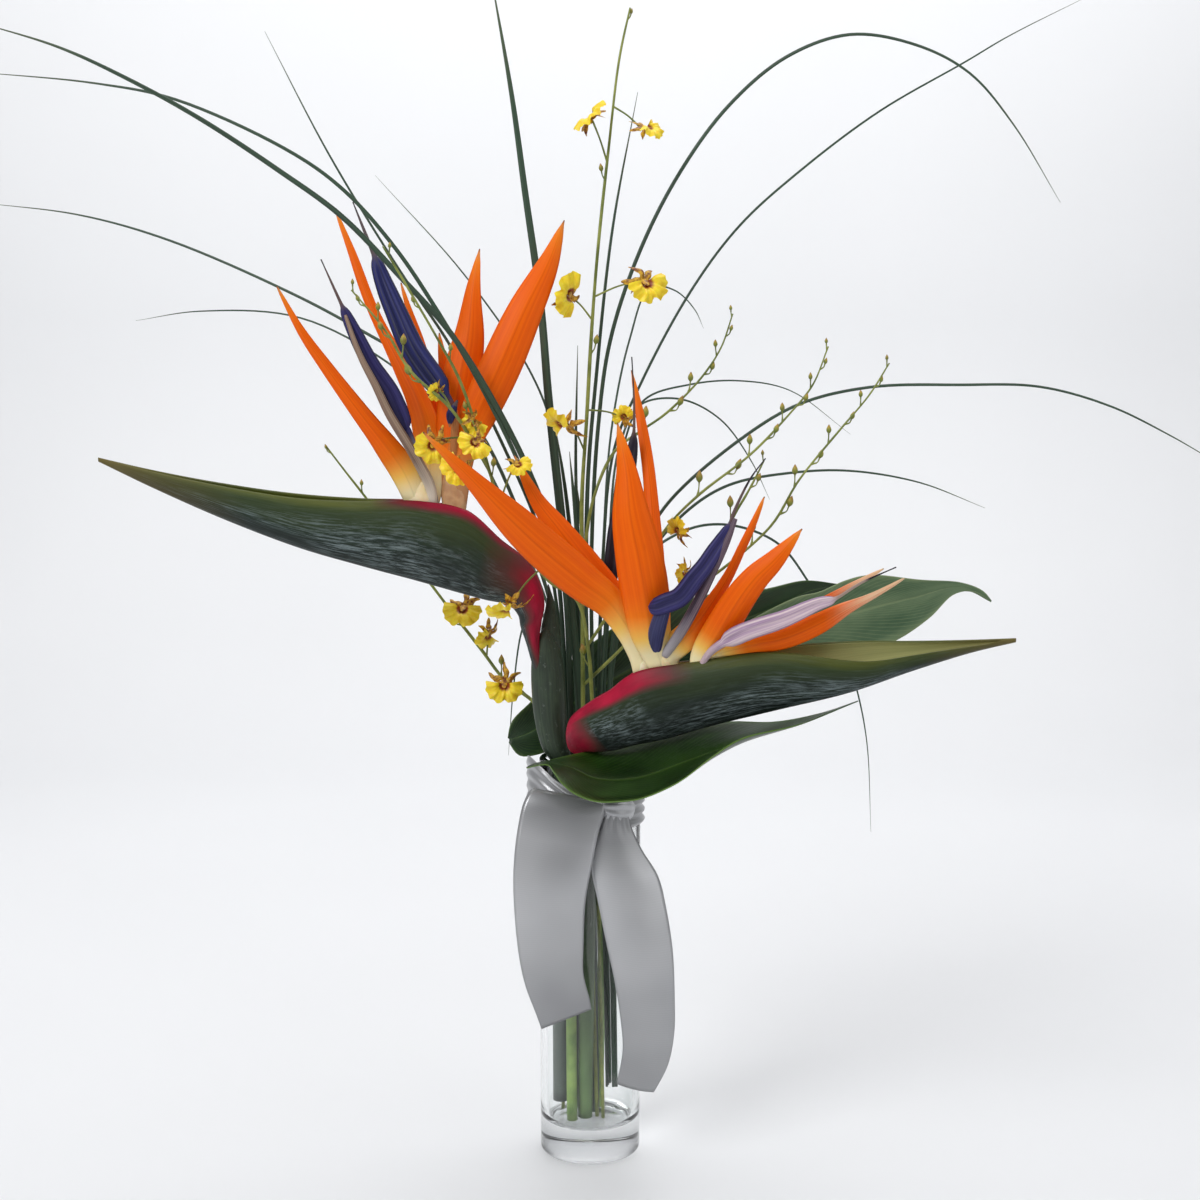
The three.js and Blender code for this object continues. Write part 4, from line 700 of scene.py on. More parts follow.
def sepal_look(name, foot, throat, pale=0.0):
    """Orange with faint lengthwise streaks, paler at its foot and at its tip, with painted shade
    along its middle crease and at its edges. pale is how dry the tips of the outermost sepals look."""
    look = Look(name, Subsurface_Weight=0.08, Subsurface_Scale=0.003, Specular_IOR_Level=0.14)
    streak = look.streaks(12, 1.1, 4)
    orange = look.ramp(streak, (0.25, (212, 74, 0)), (0.5, (234, 96, 0)), (0.78, (250, 118, 6)))
    body = look.ramp(look.v, (0.0, foot), (0.1, foot), (0.17, throat), (0.26, (240, 128, 22)),
                     (0.36, (236, 98, 2)), (0.8, (236, 98, 2)), (0.95, (240, 128, 26)),
                     (0.985, (222, 136, 66)), (1.0, (96, 60, 40)))
    share = look.ramp(look.v, (0.14, 0.0), (0.36, 0.7), (0.86, 0.6), (0.96, 0.0))
    # painted shade: darker along the middle crease and a little at the edges
    painted_crease_shade = look.ramp(look.off_middle(), (0.0, 0.84), (0.02, 0.94), (0.06, 1.0), (0.43, 1.0),
                       (0.5, 0.92))
    hue = look.mix(0.9, look.mix(share, body, orange), painted_crease_shade, "MULTIPLY")
    outermost = look.blend(look.object_axis(0), 0.0, 1.0, 0.108, 0.126)
    dry = look.times(look.times(outermost, look.blend(streak, 0.2, 1.0, 0.36, 0.52)), pale)
    hue = look.mix(dry, hue, (226, 206, 172))
    bruise = look.blend(look.streaks(5, 5, 4, 3.0), 0.0, 0.35, 0.66, 0.8)
    look.colour(look.mix(bruise, hue, (176, 52, 10)))
    fine = look.streaks(90, 3)
    look.gloss(look.blend(fine, 0.36, 0.55))
    look.bump(look.plus(look.times(streak, 0.6), look.times(fine, 0.25)), 0.3, 0.35)
    return look.material


def arrow_look(name, dark, light, edge, tip, haft):
    """From the haft, up to 0.2 along, over the folded head to the style's tip from 0.8. The
    head's two sides, left and right in the front view, take the edge colour as painted shade."""
    look = Look(name, Specular_IOR_Level=0.28)
    streak = look.streaks(20, 1.4, 4)
    # painted shade: the edge colour darkens the head's two sides in the front view
    sides = look.math("ABSOLUTE", look.math("COSINE", look.times(look.u, TURN)))
    petal = look.blend(streak, dark, light, 0.36, 0.64)
    petal = look.mix(look.blend(sides, 0.0, 0.75, 0.72, 1.0), petal, edge)
    ends = look.ramp(look.v, (0.0, haft), (0.12, haft), (0.2, dark), (0.76, dark), (0.8, tip),
                     (0.97, tip), (1.0, (40, 34, 40)))
    head = look.ramp(look.v, (0.12, 0.0), (0.2, 0.95), (0.78, 0.95), (0.82, 0.0))
    look.colour(look.mix(head, ends, petal))
    look.gloss(look.blend(streak, 0.36, 0.56))
    look.bump(streak, 0.45, 0.55)
    return look.material


def style_look(name, pale_foot, *stops):
    """The dusky style or haft beside a blue head: paler at its foot, striped above."""
    look = Look(name, Specular_IOR_Level=0.35)
    ribs = look.streaks(22, 0.9, 4)
    low = look.ramp(look.v, (0.0, 0.9), (0.1, 0.7), (0.34, 0.0))
    look.colour(look.mix(low, look.ramp(ribs, *stops), pale_foot))
    look.bump(ribs, 0.4, 0.6)
    return look.material


def bract_look(name, lift, neck_place, neck_edge, lip_place, lip_edge):
    """The sheath's outer wall: waxy dark green, brighter by lift, with pale lengthwise streaks,
    near black towards its keel as painted shade on its underside, crimson at its neck and along its
    lips there."""
    look = Look(name, Specular_IOR_Level=0.26)
    edge = look.times(look.off_middle(), 2.0)
    broad = look.streaks(7, 4, 4)
    place = look.plus(edge, look.math("MULTIPLY_ADD", broad, 0.5, -0.25))

    def lifted(*colour):
        return tuple(c + lift for c in colour)

    # painted shade: the green runs near black towards the keel, the underside; the olive band at the
    # lips is its own colour
    green = look.ramp(place, (0.1, lifted(4, 10, 12)), (0.36, lifted(8, 18, 18)),
                      (0.56, lifted(20, 34, 24)), (0.84, lifted(46, 60, 16)), (1.0, lifted(84, 90, 24)))
    ribs = look.streaks(90, 2.5)
    green = look.mix(0.24, green, look.blend(ribs, lifted(6, 16, 14), lifted(46, 62, 46)))
    scuffs = look.blend(look.streaks(84, 26, 6, rough=0.75), 0.0, 1.0, 0.46, 0.64)
    patches = look.blend(look.streaks(4, 5, seed=5.0), 0.06, 0.7, 0.38, 0.6)
    belt = look.ramp(edge, (0.08, 0.35), (0.25, 1.0), (0.55, 0.9), (0.76, 0.15))
    wax = look.times(look.times(scuffs, patches), belt)
    green = look.mix(wax, green, (146, 162, 164))
    tail = look.ramp(look.v, (0.82, 0.0), (0.95, 0.6), (1.0, 1.0))
    green = look.mix(tail, green, (104, 92, 46))
    neck = look.times(look.ramp(look.v, *neck_place), look.ramp(edge, *neck_edge))
    lip = look.times(look.ramp(look.v, *lip_place), look.ramp(edge, *lip_edge))
    red = look.blend(look.streaks(9, 9), (124, 2, 36), (176, 14, 54))
    share = look.math("MAXIMUM", neck, lip)
    dusk = look.mix(look.blend(share, 0.0, 1.0, 0.0, 0.35), green, (88, 48, 44))
    look.colour(look.mix(look.blend(share, 0.0, 1.0, 0.3, 0.8), dusk, red))
    look.gloss(look.blend(broad, 0.4, 0.62))
    look.bump(look.plus(look.times(ribs, 0.5), look.times(wax, 0.5)), 0.35, 0.5)
    return look.material


def inner_bract_look(name, middle, tail):
    """The sheath's inner wall: reddish at its neck, with fine green ribs."""
    look = Look(name, roughness=0.55, Specular_IOR_Level=0.3)
    ribs = look.streaks(60, 3)
    base = look.ramp(look.v, (0.25, (150, 60, 70)), (0.42, (170, 96, 70)), (0.5, middle), (0.8, tail),
                     (1.0, (110, 92, 46)))
    look.colour(look.mix(0.3, base, look.blend(ribs, (88, 100, 36), (176, 176, 110))))
    look.bump(ribs, 0.3, 0.4)
    return look.material


def stalk_look(name, low):
    """Dark and waxy above, with the given colour towards its foot."""
    look = Look(name)
    broad = look.streaks(5, 9, 4)
    ribs = look.streaks(46, 5)
    green = look.ramp(broad, (0.3, (18, 30, 22)), (0.6, (38, 54, 38)), (0.85, (78, 94, 68)))
    green = look.mix(0.35, green, look.blend(ribs, (20, 32, 22), (72, 90, 64)))
    green = look.mix(look.blend(look.v, 0.8, 0.0, 0.1, 0.3), green, low)
    wax = look.blend(look.streaks(14, 26, 6, rough=0.7), 0.0, 0.5, 0.6, 0.78)
    look.colour(look.mix(wax, green, (160, 172, 162)))
    look.gloss(look.blend(broad, 0.4, 0.6))
    look.bump(ribs, 0.35, 0.5)
    return look.material


def leaf_look(name, dark, light, rim, gloss, vein):
    """A broad leaf: fine veins that run out from its middle and along it, and a paler rim."""
    look = Look(name, roughness=gloss, Coat_Weight=0.15, Coat_Roughness=0.3, Specular_IOR_Level=0.4)
    patches = look.streaks(3, 5, 4)
    half = look.off_middle()
    sweep = look.math("SUBTRACT", look.v, look.times(look.math("POWER", half, 0.6), 0.55))
    veins = look.blend(look.math("SINE", look.times(sweep, 230.0)), 0.0, 1.0, 0.5, 0.98)
    faint = look.times(look.streaks(6, 9, seed=2.0), vein)
    green = look.mix(look.times(veins, faint), look.blend(patches, dark, light), rim)
    midrib = look.ramp(half, (0.0, 1.0), (0.012, 0.8), (0.024, 0.0))
    green = look.mix(look.times(midrib, vein), green, rim)
    edge = look.ramp(half, (0.4, 0.0), (0.47, 0.25), (0.49, 0.6), (0.5, 1.0))
    look.colour(look.mix(look.times(edge, 0.75), green, rim))
    look.gloss(look.blend(patches, gloss - 0.06, gloss + 0.08))
    height = look.plus(look.times(veins, -0.3), look.times(look.streaks(40, 30), 0.5))
    look.bump(look.math("SUBTRACT", height, midrib), 0.25, 0.45)
    return look.material


def grass_look():
    look = Look("bear_grass")
    ribs = look.streaks(18, 4)
    shade = look.blend(look.noise(look.place, 14, 2), 0.0, 0.4, 0.4, 0.65)
    green = look.mix(shade, look.blend(ribs, (22, 38, 30), (66, 92, 70)), (54, 84, 60))
    look.colour(look.mix(look.blend(look.v, 0.0, 0.5, 0.9, 1.0), green, (112, 116, 84)))
    look.gloss(look.blend(ribs, 0.4, 0.58))
    look.bump(ribs, 0.3, 0.5)
    return look.material


def tissue_look(name, dark, light, scale, gloss=0.5, subsurface=0.0):
    """Mottled between two colours, for small parts."""
    look = Look(name, roughness=gloss, Subsurface_Weight=subsurface, Subsurface_Scale=0.003)
    mottle = look.noise(look.place, scale, 4, 0.65)
    look.colour(look.blend(mottle, dark, light, 0.38, 0.62))
    look.gloss(look.blend(mottle, gloss - 0.08, gloss + 0.08, 0.35, 0.65))
    look.bump(mottle, 0.25, 0.4)
    return look.material


def bud_look():
    """Green below, ochre and brown towards its point."""
    look = Look("orchid_bud", Subsurface_Weight=0.1, Subsurface_Scale=0.002)
    mottle = look.noise(look.place, 260, 3)
    base = look.ramp(look.v, (0.0, (104, 118, 44)), (0.4, (128, 138, 52)), (0.72, (172, 148, 50)),
                     (1.0, (140, 88, 34)))
    look.colour(look.mix(look.blend(mottle, 0.0, 0.5, 0.45, 0.7), base, (116, 78, 34)))
    look.bump(mottle, 0.2, 0.4)
    return look.material


def lip_look():
    """Yellow round a red brown heart."""
    look = Look("orchid_lip", roughness=0.45, Subsurface_Weight=0.15, Subsurface_Scale=0.003)
    soft = look.streaks(16, 3)
    heart = look.ramp(look.v, (0.0, 1.0), (0.16, 0.95), (0.3, 0.0))
    look.colour(look.mix(heart, look.blend(soft, (238, 198, 8), (252, 230, 48)), (142, 44, 12)))
    look.bump(soft, 0.3, 0.5)
    return look.material


def floor_look():
    look = Look("pale_floor", roughness=0.55)
    tone = look.noise(look.place, 1.6, 2)
    look.colour(look.blend(tone, (227, 228, 230), (231, 232, 234)))
    look.gloss(look.blend(tone, 0.5, 0.6))
    return look.material


GLASS = glass_look()
SATIN = ribbon_look()
SEPAL = sepal_look("orange_sepal", (240, 224, 176), (246, 200, 96))
SEPAL_PALE = sepal_look("orange_sepal_pale", (240, 224, 176), (246, 200, 96), 0.8)
SEPAL_TAN = sepal_look("orange_sepal_tan", (188, 138, 96), (196, 126, 66))
ARROW_BLUE = arrow_look("blue_arrow", (22, 20, 62), (60, 56, 116), (16, 14, 42), (100, 80, 78),
                        (150, 148, 160))
ARROW_NAVY = arrow_look("navy_arrow", (6, 8, 36), (38, 44, 116), (5, 5, 24), (84, 70, 72),
                        (176, 112, 60))
ARROW_DARK = arrow_look("dark_arrow", (10, 8, 20), (40, 32, 52), (8, 6, 14), (104, 80, 72),
                        (30, 26, 50))
ARROW_PALE = arrow_look("pale_arrow", (162, 132, 164), (232, 214, 212), (110, 76, 128),
                        (160, 140, 128), (196, 172, 180))
STYLE_TAN = style_look("tan_style", (232, 224, 206), (0.32, (92, 72, 66)), (0.5, (140, 114, 96)),
                       (0.7, (192, 176, 156)))
STYLE_DUSK = style_look("dusky_style", (176, 172, 176), (0.32, (48, 36, 54)), (0.5, (92, 74, 88)),
                        (0.7, (146, 128, 134)))
HAFT = style_look("blue_haft", (206, 204, 190), (0.3, (24, 26, 60)), (0.6, (62, 64, 110)),
                  (0.8, (150, 152, 170)))
BRACT_LEFT = bract_look("sheath_left", 10,
                        [(0.05, 0.2), (0.17, 1.0), (0.33, 1.0), (0.41, 0.4), (0.5, 0.0)],
                        [(0.24, 0.0), (0.6, 1.0)],
                        [(0.34, 0.3), (0.5, 0.7), (0.6, 1.0), (0.68, 0.0)], [(0.84, 0.0), (0.95, 1.0)])
BRACT_RIGHT = bract_look("sheath_right", 0,
                         [(0.0, 1.0), (0.16, 1.0), (0.27, 0.0)], [(0.1, 0.25), (0.4, 1.0)],
                         [(0.1, 1.0), (0.44, 1.0), (0.54, 0.0)], [(0.72, 0.0), (0.82, 1.0)])
INSIDE_LEFT = inner_bract_look("sheath_inside_left", (140, 146, 54), (138, 150, 66))
INSIDE_RIGHT = inner_bract_look("sheath_inside_right", (182, 168, 124), (172, 172, 118))
STALK_DARK = stalk_look("stalk_dark", (70, 82, 74))
STALK_BRIGHT = stalk_look("stalk_bright", (98, 128, 74))
LEAF_GLOSSY = leaf_look("leaf_glossy", (6, 28, 4), (34, 64, 14), (96, 132, 44), 0.36, 0.16)
LEAF_DARK = leaf_look("leaf_dark", (12, 34, 16), (34, 62, 32), (96, 128, 58), 0.42, 0.3)
LEAF_MATTE = leaf_look("leaf_matte", (56, 84, 56), (96, 118, 84), (140, 156, 110), 0.55, 0.35)
LEAF_STEM = tissue_look("leaf_stem", (96, 128, 56), (142, 168, 88), 50)
GRASS_LOOK = grass_look()
CREAM = tissue_look("pale_foot", (238, 214, 158), (252, 238, 204), 60, 0.45, 0.15)
TAN = tissue_look("tan_foot", (184, 138, 98), (226, 184, 136), 60, 0.4, 0.15)
ORCHID_LOOKS = [tissue_look("orchid_stem", (94, 108, 40), (142, 150, 70), 70), bud_look(), lip_look(),
                tissue_look("orchid_tepal", (104, 36, 12), (222, 174, 44), 520, 0.5, 0.1)]
STEM, BUD, LIP, TEPAL = range(4)  # the places in ORCHID_LOOKS


# ---- the vase ----
def make_vase():
    out, inner = VASE_RADIUS, VASE_RADIUS - VASE_WALL
    top, low = VASE_HEIGHT, VASE_BASE
    profile = [(0, 0.8), (12, 0.7), (21, 0.25), (22.6, 0), (24.2, 0.25), (24.8, 0.9), (out, 1.9),
               (out, 30), (out, 120), (out, top - 1.4), (24.85, top - 0.6), (24.3, top - 0.05),
               (23.25, top), (22.2, top - 0.05), (21.65, top - 0.6), (inner, top - 1.4), (inner, 120),
               (inner, 26), (inner, 20), (21, low + 1.8), (19.6, low + 0.5), (17.5, low),
               (9, low - 0.1), (0, low - 0.1)]
    shares = steps(len(profile) - 1)

    def section(place):
        _, radius, height = place
        radius = max(radius, 0.001)
        return lambda u: np.array([radius * math.cos(TURN * u), radius * math.sin(TURN * u), height])

    mesh = Mesh()
    mesh.skin(section, [(s, *p) for s, p in zip(shares, profile)], 128, closed=True, v_at=first)
    vase = mesh.piece("vase_glass", "glass", "vase", GLASS)
    vase.visible_shadow = False  # clear glass lets the light through to the stems


# ---- the ribbon ----
def ruled(plan):
    """A sheet between two edges and a middle line: a function of t that gives one of u."""
    edges = [Route(plan[key]) for key in ("left", "middle", "right")]

    def section(t):
        a, m, b = (route.at(t) for route in edges)
        return lambda u: a * (1 - u) * (1 - 2 * u) + m * 4 * u * (1 - u) + b * u * (2 * u - 1)

    return section


def make_ribbon():
    """The pleated band with a loop behind the right of the neck, the two tails and the knot."""
    mesh = Mesh()

    def band(s):
        angle = lerp(*BAND_ENDS, s) * math.pi
        loop = math.exp(-(((angle / math.pi - LOOP_AT) / LOOP_WIDTH) ** 2))
        low, high = lerp(*BAND_LOW, loop), lerp(*BAND_HIGH, loop)

        def draw(u):
            pleat = math.sin(24 * u + 0.6 * math.sin(angle * 3)) * (1 - 0.6 * loop)
            radius = RIBBON_RADIUS + 5 * loop + 0.5 + 0.75 * pleat
            return np.array([radius * math.cos(angle), radius * math.sin(angle), lerp(low, high, u)])

        return draw

    mesh.skin(band, steps(130), 36, v_at=lambda s: BAND_MAP * s)
    for plan in (TAIL_LEFT, TAIL_RIGHT):
        sheet = ruled(plan)

        def tail(s):
            t = lerp(*SHEET_ENDS, s)
            draw = sheet(t)
            gather = 0.7 * smooth_step(0.12, 0.0, t) if plan is TAIL_RIGHT else 0
            return lambda u: draw(u) - AWAY * (gather * math.sin(25 * u))

        mesh.skin(tail, steps(70), 20, v_at=lambda s: TAIL_MAP * s)
    ribbon = mesh.piece("ribbon_satin", "ribbon", "ribbon", SATIN, thick=0.35)

    mesh = Mesh()
    path = Route(KNOT)

    def section(t):
        def swell(angle):
            fold = 1 + 0.1 * math.sin(9 * angle + 2.4 * t) * math.sin(math.pi * t) ** 0.5
            return fold, fold

        return ring(path.point(t), path.ahead(t), smooth_along([3.2, 6.0, 6.8, 3.8], t),
                    smooth_along([1.5, 3.0, 3.4, 1.8], t), swell)

    mesh.skin(section, steps(32), 48, closed=True, v_at=lambda t: 0.7 + 0.04 * t)
    knot = mesh.piece("ribbon_knot", "ribbon", "ribbon", SATIN)


# ---- flower stalks ----
def make_stalks():
    mesh = Mesh()
    add_tube(mesh, LEFT_STALK + [[-20.6, -13.4, 266]], [4.2, 4.3, 5, 5, 6.6, 8, 8.2, 7.2, 4.4, 1.2],
             [4.2, 4.3, 4.6, 4.8, 5.6, 6.2, 6.4, 5.6, 3.4, 1], 28, 14)
    add_tube(mesh, LEFT_STALK_TONGUE, [5, 4.8, 2, 0.3], [3, 2.6, 1.4, 0.3], 20, 14)
    mesh.piece("stalk_left", "stalk", "left_stalk", STALK_DARK)
    mesh = Mesh()
    add_tube(mesh, RIGHT_STALK, [3.6, 3.9, 4.6, 4.8, 4.9, 4.7], None, 28, 14)
    mesh.piece("stalk_right", "stalk", "right_stalk", STALK_BRIGHT)


# ---- flower sheaths ----
def make_bract(side, plan, material, inside, front, lowered):
    """One smooth shell from its closed neck, with its first few stations, to its open boat. front
    is 1 where the shell's first side faces the front, or else -1. In its tail the lip there is
    lowered, by an angle about the shell's middle."""
    neck = Route(plan["neck"])
    stations = []
    for i, (across, deep) in enumerate(zip(plan["neck_across"], plan["neck_deep"])):
        t = i / (len(plan["neck"]) - 1)
        reach = front_side(neck.ahead(t)) * front * across
        stations.append((neck.point(t) + reach, neck.point(t) - reach, deep))
    slit = [0.02] * len(stations) + plan["slit"]
    tops, keels, halves = zip(*stations, *plan["stations"])
    tops, keels = Route(tops), Route(keels)

    def section(t):
        top, keel = tops.point(t), keels.point(t)
        middle, rise = (top + keel) / 2, (top - keel) / 2
        deep = unit(np.cross(unit(rise), unit(tops.ahead(t) + keels.ahead(t))))
        half = max(smooth_along(halves, t) - 0.5, 0.25)
        height = max(np.linalg.norm(rise) - 0.5, 0.3)
        gap = math.asin(min(0.9, max(smooth_along(slit, t), 0) / (half + 0.4)))
        drop = lowered * smooth_step(0.6, 0.78, t) * smooth_step(1.0, 0.93, t)
        start, end = (gap + drop, TURN - gap) if front == 1 else (gap, TURN - gap - drop)

        def draw(u):
            angle = lerp(start, end, u)
            lean = 1 + 0.12 * math.cos(angle)
            return (middle + unit(rise) * (height * math.cos(angle))
                    + deep * (half * lean * math.sin(angle)))

        return draw

    mesh = Mesh()
    mesh.skin(section, steps(150), 56)
    mesh.piece(f"sheath_{side}", "bract", f"{side}_bract", material, inside, thick=1.0, inside=1)


# ---- florets and arrows ----
def add_sepal(mesh, route, widths, keel, k):
    path = Route(route)

    def section(t):
        ahead, centre = path.ahead_at(t), path.at(t)
        side = turned(front_side(ahead), ahead, lerp(0.15 - 0.1 * k, 0.25 * (k - 1), t))
        fold = np.cross(side, ahead)
        half = max(smooth_along(widths, t) / 2 * math.sqrt(min(1, (1.002 - t) * 22)), 0.1)

        def draw(share):
            u = 2 * share - 1
            lift = keel * half * (1 - abs(u) ** 1.35) - 0.06 * half * abs(u) ** 5
            wave = 0.25 * math.sin(9 * t + 3 * k) * u * abs(u)
            return centre + side * (u * half) + fold * (lift + wave)

        return draw

    mesh.skin(section, steps(56), 14)


def make_floret(key, node, plan, material, foot):
    """The sepals run down into the sheath, round a short foot that narrows between them."""
    mesh = Mesh()
    route, across, deep = plan["foot"]
    for k, (path, widths, keel) in enumerate(plan["sepals"]):
        low = 0.6 * np.array(route[1]) + 0.4 * np.array(path[0]) - 4 * UP
        add_sepal(mesh, [low] + path, widths, keel, k)
    mesh.piece(f"sepals_{key}", "sepal", node, material, thick=0.7)
    mesh = Mesh()
    end = 1.8 * np.array(route[-1]) - 0.8 * np.array(route[-2])
    add_tube(mesh, route + [end], [0.9 * a for a in across] + [0.5],
             [0.9 * d for d in deep] + [0.4], 20)
    mesh.piece(f"sepals_{key}_foot", "sepal", node, foot)


def make_arrow(key, node, plan, material, style):
    """The two blue petals as one folded head on a slim haft, with the style's tip above it and,
    where it shows, the dusky style along its side. A broad haft has a route of its own."""
    path = Route(plan["arrow"])
    (barb, top), width = plan["head"], plan["width"]
    broad = "haft" in plan
    shape = ([(0, 0.04), (0.008, 0.2), (0.02, 0.33)] if broad
             else [(0, 0), (barb, 0.1), (lerp(barb, top, 0.02), 0.32)])
    shape += [(lerp(barb, top, s), share) for s, share in HEAD_SHAPE]
    places, shares = zip(*shape, (lerp(top, 1, 0.5), 0.06), (1.0, 0.02))

    def section(t):
        half = float(np.interp(t, places, shares)) * width
        least = 0.3 if broad or t > barb else lerp(1.3, 2.1, t / barb)
        folded = smooth_step(barb, lerp(barb, top, 0.1), t) * smooth_step(top, lerp(barb, top, 0.85), t)

        def swell(angle):
            groove = math.exp(-(((angle - 1.5 * math.pi) / 0.34) ** 2))
            return 1, 1 - 0.5 * folded * groove + 0.06 * folded * math.cos(3 * angle)

        return ring(path.at(t), path.ahead_at(t), max(least, half), max(least, 0.52 * half), swell)

    mesh = Mesh()
    mesh.skin(section, steps(90), 40, closed=True,
              v_at=lambda t: lerp(*HEAD_MAP, (t - barb) / (top - barb)))
    if "petal" in plan:
        add_tube(mesh, *plan["petal"])
    for kind, (extra, flat) in enumerate((("style", 0.8), ("haft", 0.5)), 1):
        if extra in plan:
            route, radii = plan[extra]
            add_tube(mesh, route, radii, [flat * r for r in radii], 24, 12, kind)
    mesh.piece(f"blue_{key}", "arrow", node, material, style, HAFT)


# ---- broad leaves ----
def make_leaf(side, plan, material):
    sheet = ruled(plan)

    def section(t):
        draw, fade = sheet(t), math.sin(math.pi * t)

        def rippled(u):
            wave = 1.2 * math.sin(11 * t + 2.5 * u) * (2 * u - 1) ** 2 * fade
            rib = 0.5 * math.exp(-(((u - 0.5) / 0.03) ** 2)) * fade
            return draw(u) + np.array([0, wave + rib, 0.3 * wave])

        return rippled

    mesh = Mesh()
    mesh.skin(section, [lerp(*SHEET_ENDS, s) for s in steps(90)], 28)
    mesh.piece(f"{side}_leaf", "leaf", f"leaf_{side}", material, thick=0.5)
    mesh = Mesh()
    add_tube(mesh, plan["petiole"], plan["radii"], None, 18, 10)
    mesh.piece(f"{side}_leaf_stem", "leaf", f"leaf_{side}", LEAF_STEM)


# ---- bear grass ----
def make_grass(node, plan):
    """Each blade runs from the foot of the bunch, beside the others, up and out."""
    core, mesh = Route(plan["core"]), Mesh()
    for k, (width, route) in enumerate(plan["blades"]):
        turn = k / len(plan["blades"]) * TURN
        reach = max(0.4, plan["core_radius"] - width / 2 - 0.3)
        away = np.array([math.cos(turn) * reach, math.sin(turn) * reach, 0])
        foot = [core.point(0) + away + UP * (0.4 + 0.8 * ((k * 7) % 5)), core.point(0.5) + away,
                core.point(0.8) + away * 0.8]
        half = width / 2 * plan["slim"]
        add_tube(mesh, foot + route, [v * half for v in BLADE_ACROSS], BLADE_DEEP, 8, 9)
    mesh.piece(node + "_blades", "grass", node, GRASS_LOOK)


# ---- orchid sprays ----
def add_bud(mesh, start, out, size):
    """A plump pointed bud on a thin stalk that turns up from its stem."""
    knee = start + out * 3.6 * size
    base = knee + unit(out + 1.6 * UP) * 2.6 * size
    add_tube(mesh, [start, knee, base], [0.6 * size + 0.15, 0.3, 0.4], None, 6, 5, STEM)
    ahead = unit(0.5 * out + 1.3 * UP)

    def section(place):
        t, share = place
        half = 1.6 * size * share
        return ring(base + ahead * (5.6 * size * t), ahead, half, half)

    mesh.skin(section, BUD_SHAPE, 12, BUD, closed=True, v_at=first)


def add_buds(mesh, route, count, seed):
    """Along the outer half of a spray, the smallest close together at its tip."""
    dice = random.Random(seed)
    path = Route(route)
    for k in range(count):
        share = k / max(1, count - 1)
        t = lerp(0.5, 0.99, share ** 0.8)
        start, ahead = path.at(t), path.ahead_at(t)
        out = front_side(ahead) * (1 if k % 2 else -1) * dice.uniform(0.5, 0.9) + ahead * 0.9
        out = unit(out + AWAY * dice.uniform(-0.4, 0.4))
        add_bud(mesh, start, out, lerp(1.05, 0.5, share))


def add_flower(mesh, place, leaves, size, turn, nod, roll, paths):
    """A broad frilled lip under five narrow curled tepals and a small column, on a stalk from the
    point of the spray nearest to leaves. turn, nod and roll are its angles."""
    centre = np.array(place, float)
    curl = random.Random(int(100 * size + 10 * abs(roll)) + int(place[2]))

    def spin(point):
        p = turned(np.array(point) * size, np.array([1.0, 0, 0]), -nod)
        return turned(turned(p, UP, turn), AWAY, roll) + centre

    phase = curl.uniform(0, 6)

    def lip(s):
        def draw(u):
            aside = 2 * u - 1
            angle = LIP_SPREAD * aside
            notch = 1 - 0.22 * math.exp(-((angle / 0.15) ** 2)) - 0.06 * aside ** 2
            waist = 1 - 0.3 * math.sin(math.pi * s) * abs(aside)
            frill = s ** 2 * (0.8 * math.sin(9 * angle + phase) + 0.5 * math.sin(17 * angle - phase))
            reach = lerp(1.2, 9.8 * notch * (1 + 0.035 * math.sin(13 * angle + phase)), s ** 0.9)
            return spin([reach * math.sin(angle) * waist,
                         lerp(-1.2, -3, s) + frill - 2.0 * math.sin(math.pi * s),
                         lerp(-1.7, -2.3, s) - reach * 0.94 * math.cos(angle)])

        return draw

    mesh.skin(lip, steps(10), 44, LIP)
    for k, angle in enumerate((0, 1.15, -1.15, 2.1, -2.1)):
        length = (7.4 if k > 2 else 8.6) * curl.uniform(0.9, 1.08)
        angle += curl.uniform(-0.15, 0.15)
        out = np.array([math.sin(angle), 0.1, math.cos(angle)])
        wide = np.array([math.cos(angle), 0, -math.sin(angle)])
        twist, bow = curl.uniform(-1.0, 1.0), curl.uniform(0.6, 2.0)

        def tepal(s):
            half = 1.6 * math.sin(math.pi * min(s * 0.86 + 0.1, 1)) ** 0.8
            half *= 1 + 0.18 * math.sin(14 * s + k)
            bend = bow * math.sin(math.pi * s) - 1.8 * bow * s ** 3
            sway = 0.8 * math.sin(5 * s + k)

            def draw(share):
                u = 2 * share - 1
                lift = 0.5 * u * u * half + u * half * math.sin(twist * s) - bend
                aside = u * half * math.cos(twist * s) + sway
                return spin(out * (length * s) + wide * aside + AWAY * lift)

            return draw

        mesh.skin(tepal, steps(10), 4, TEPAL)

    def column(place):
        s, girth = place
        middle = np.array([0, lerp(1.2, -3.0, s), lerp(1.4, -3.4, s)])
        wide, thick = np.array([1.3, 0, 0]) * girth, np.array([0, 0.4, 1]) * girth
        return lambda u: spin(middle + wide * math.cos(TURN * u) + thick * math.sin(TURN * u))

    mesh.skin(column, [(0, 0.3), (0.2, 1.0), (0.5, 1.3), (0.8, 1.1), (1.0, 0.25)], 12, TEPAL,
              closed=True, v_at=first)
    spots = np.concatenate([p.dense for p in paths])
    root = spots[np.argmin(np.linalg.norm(spots - np.array(leaves, float), axis=1))]
    behind = spin([0, 0.8, 0])
    sag = (behind + root) / 2 + np.array([0, 1.0, 1.2])
    add_tube(mesh, [behind, sag, root], [0.5, 0.42, 0.5], None, 8, kind=STEM)


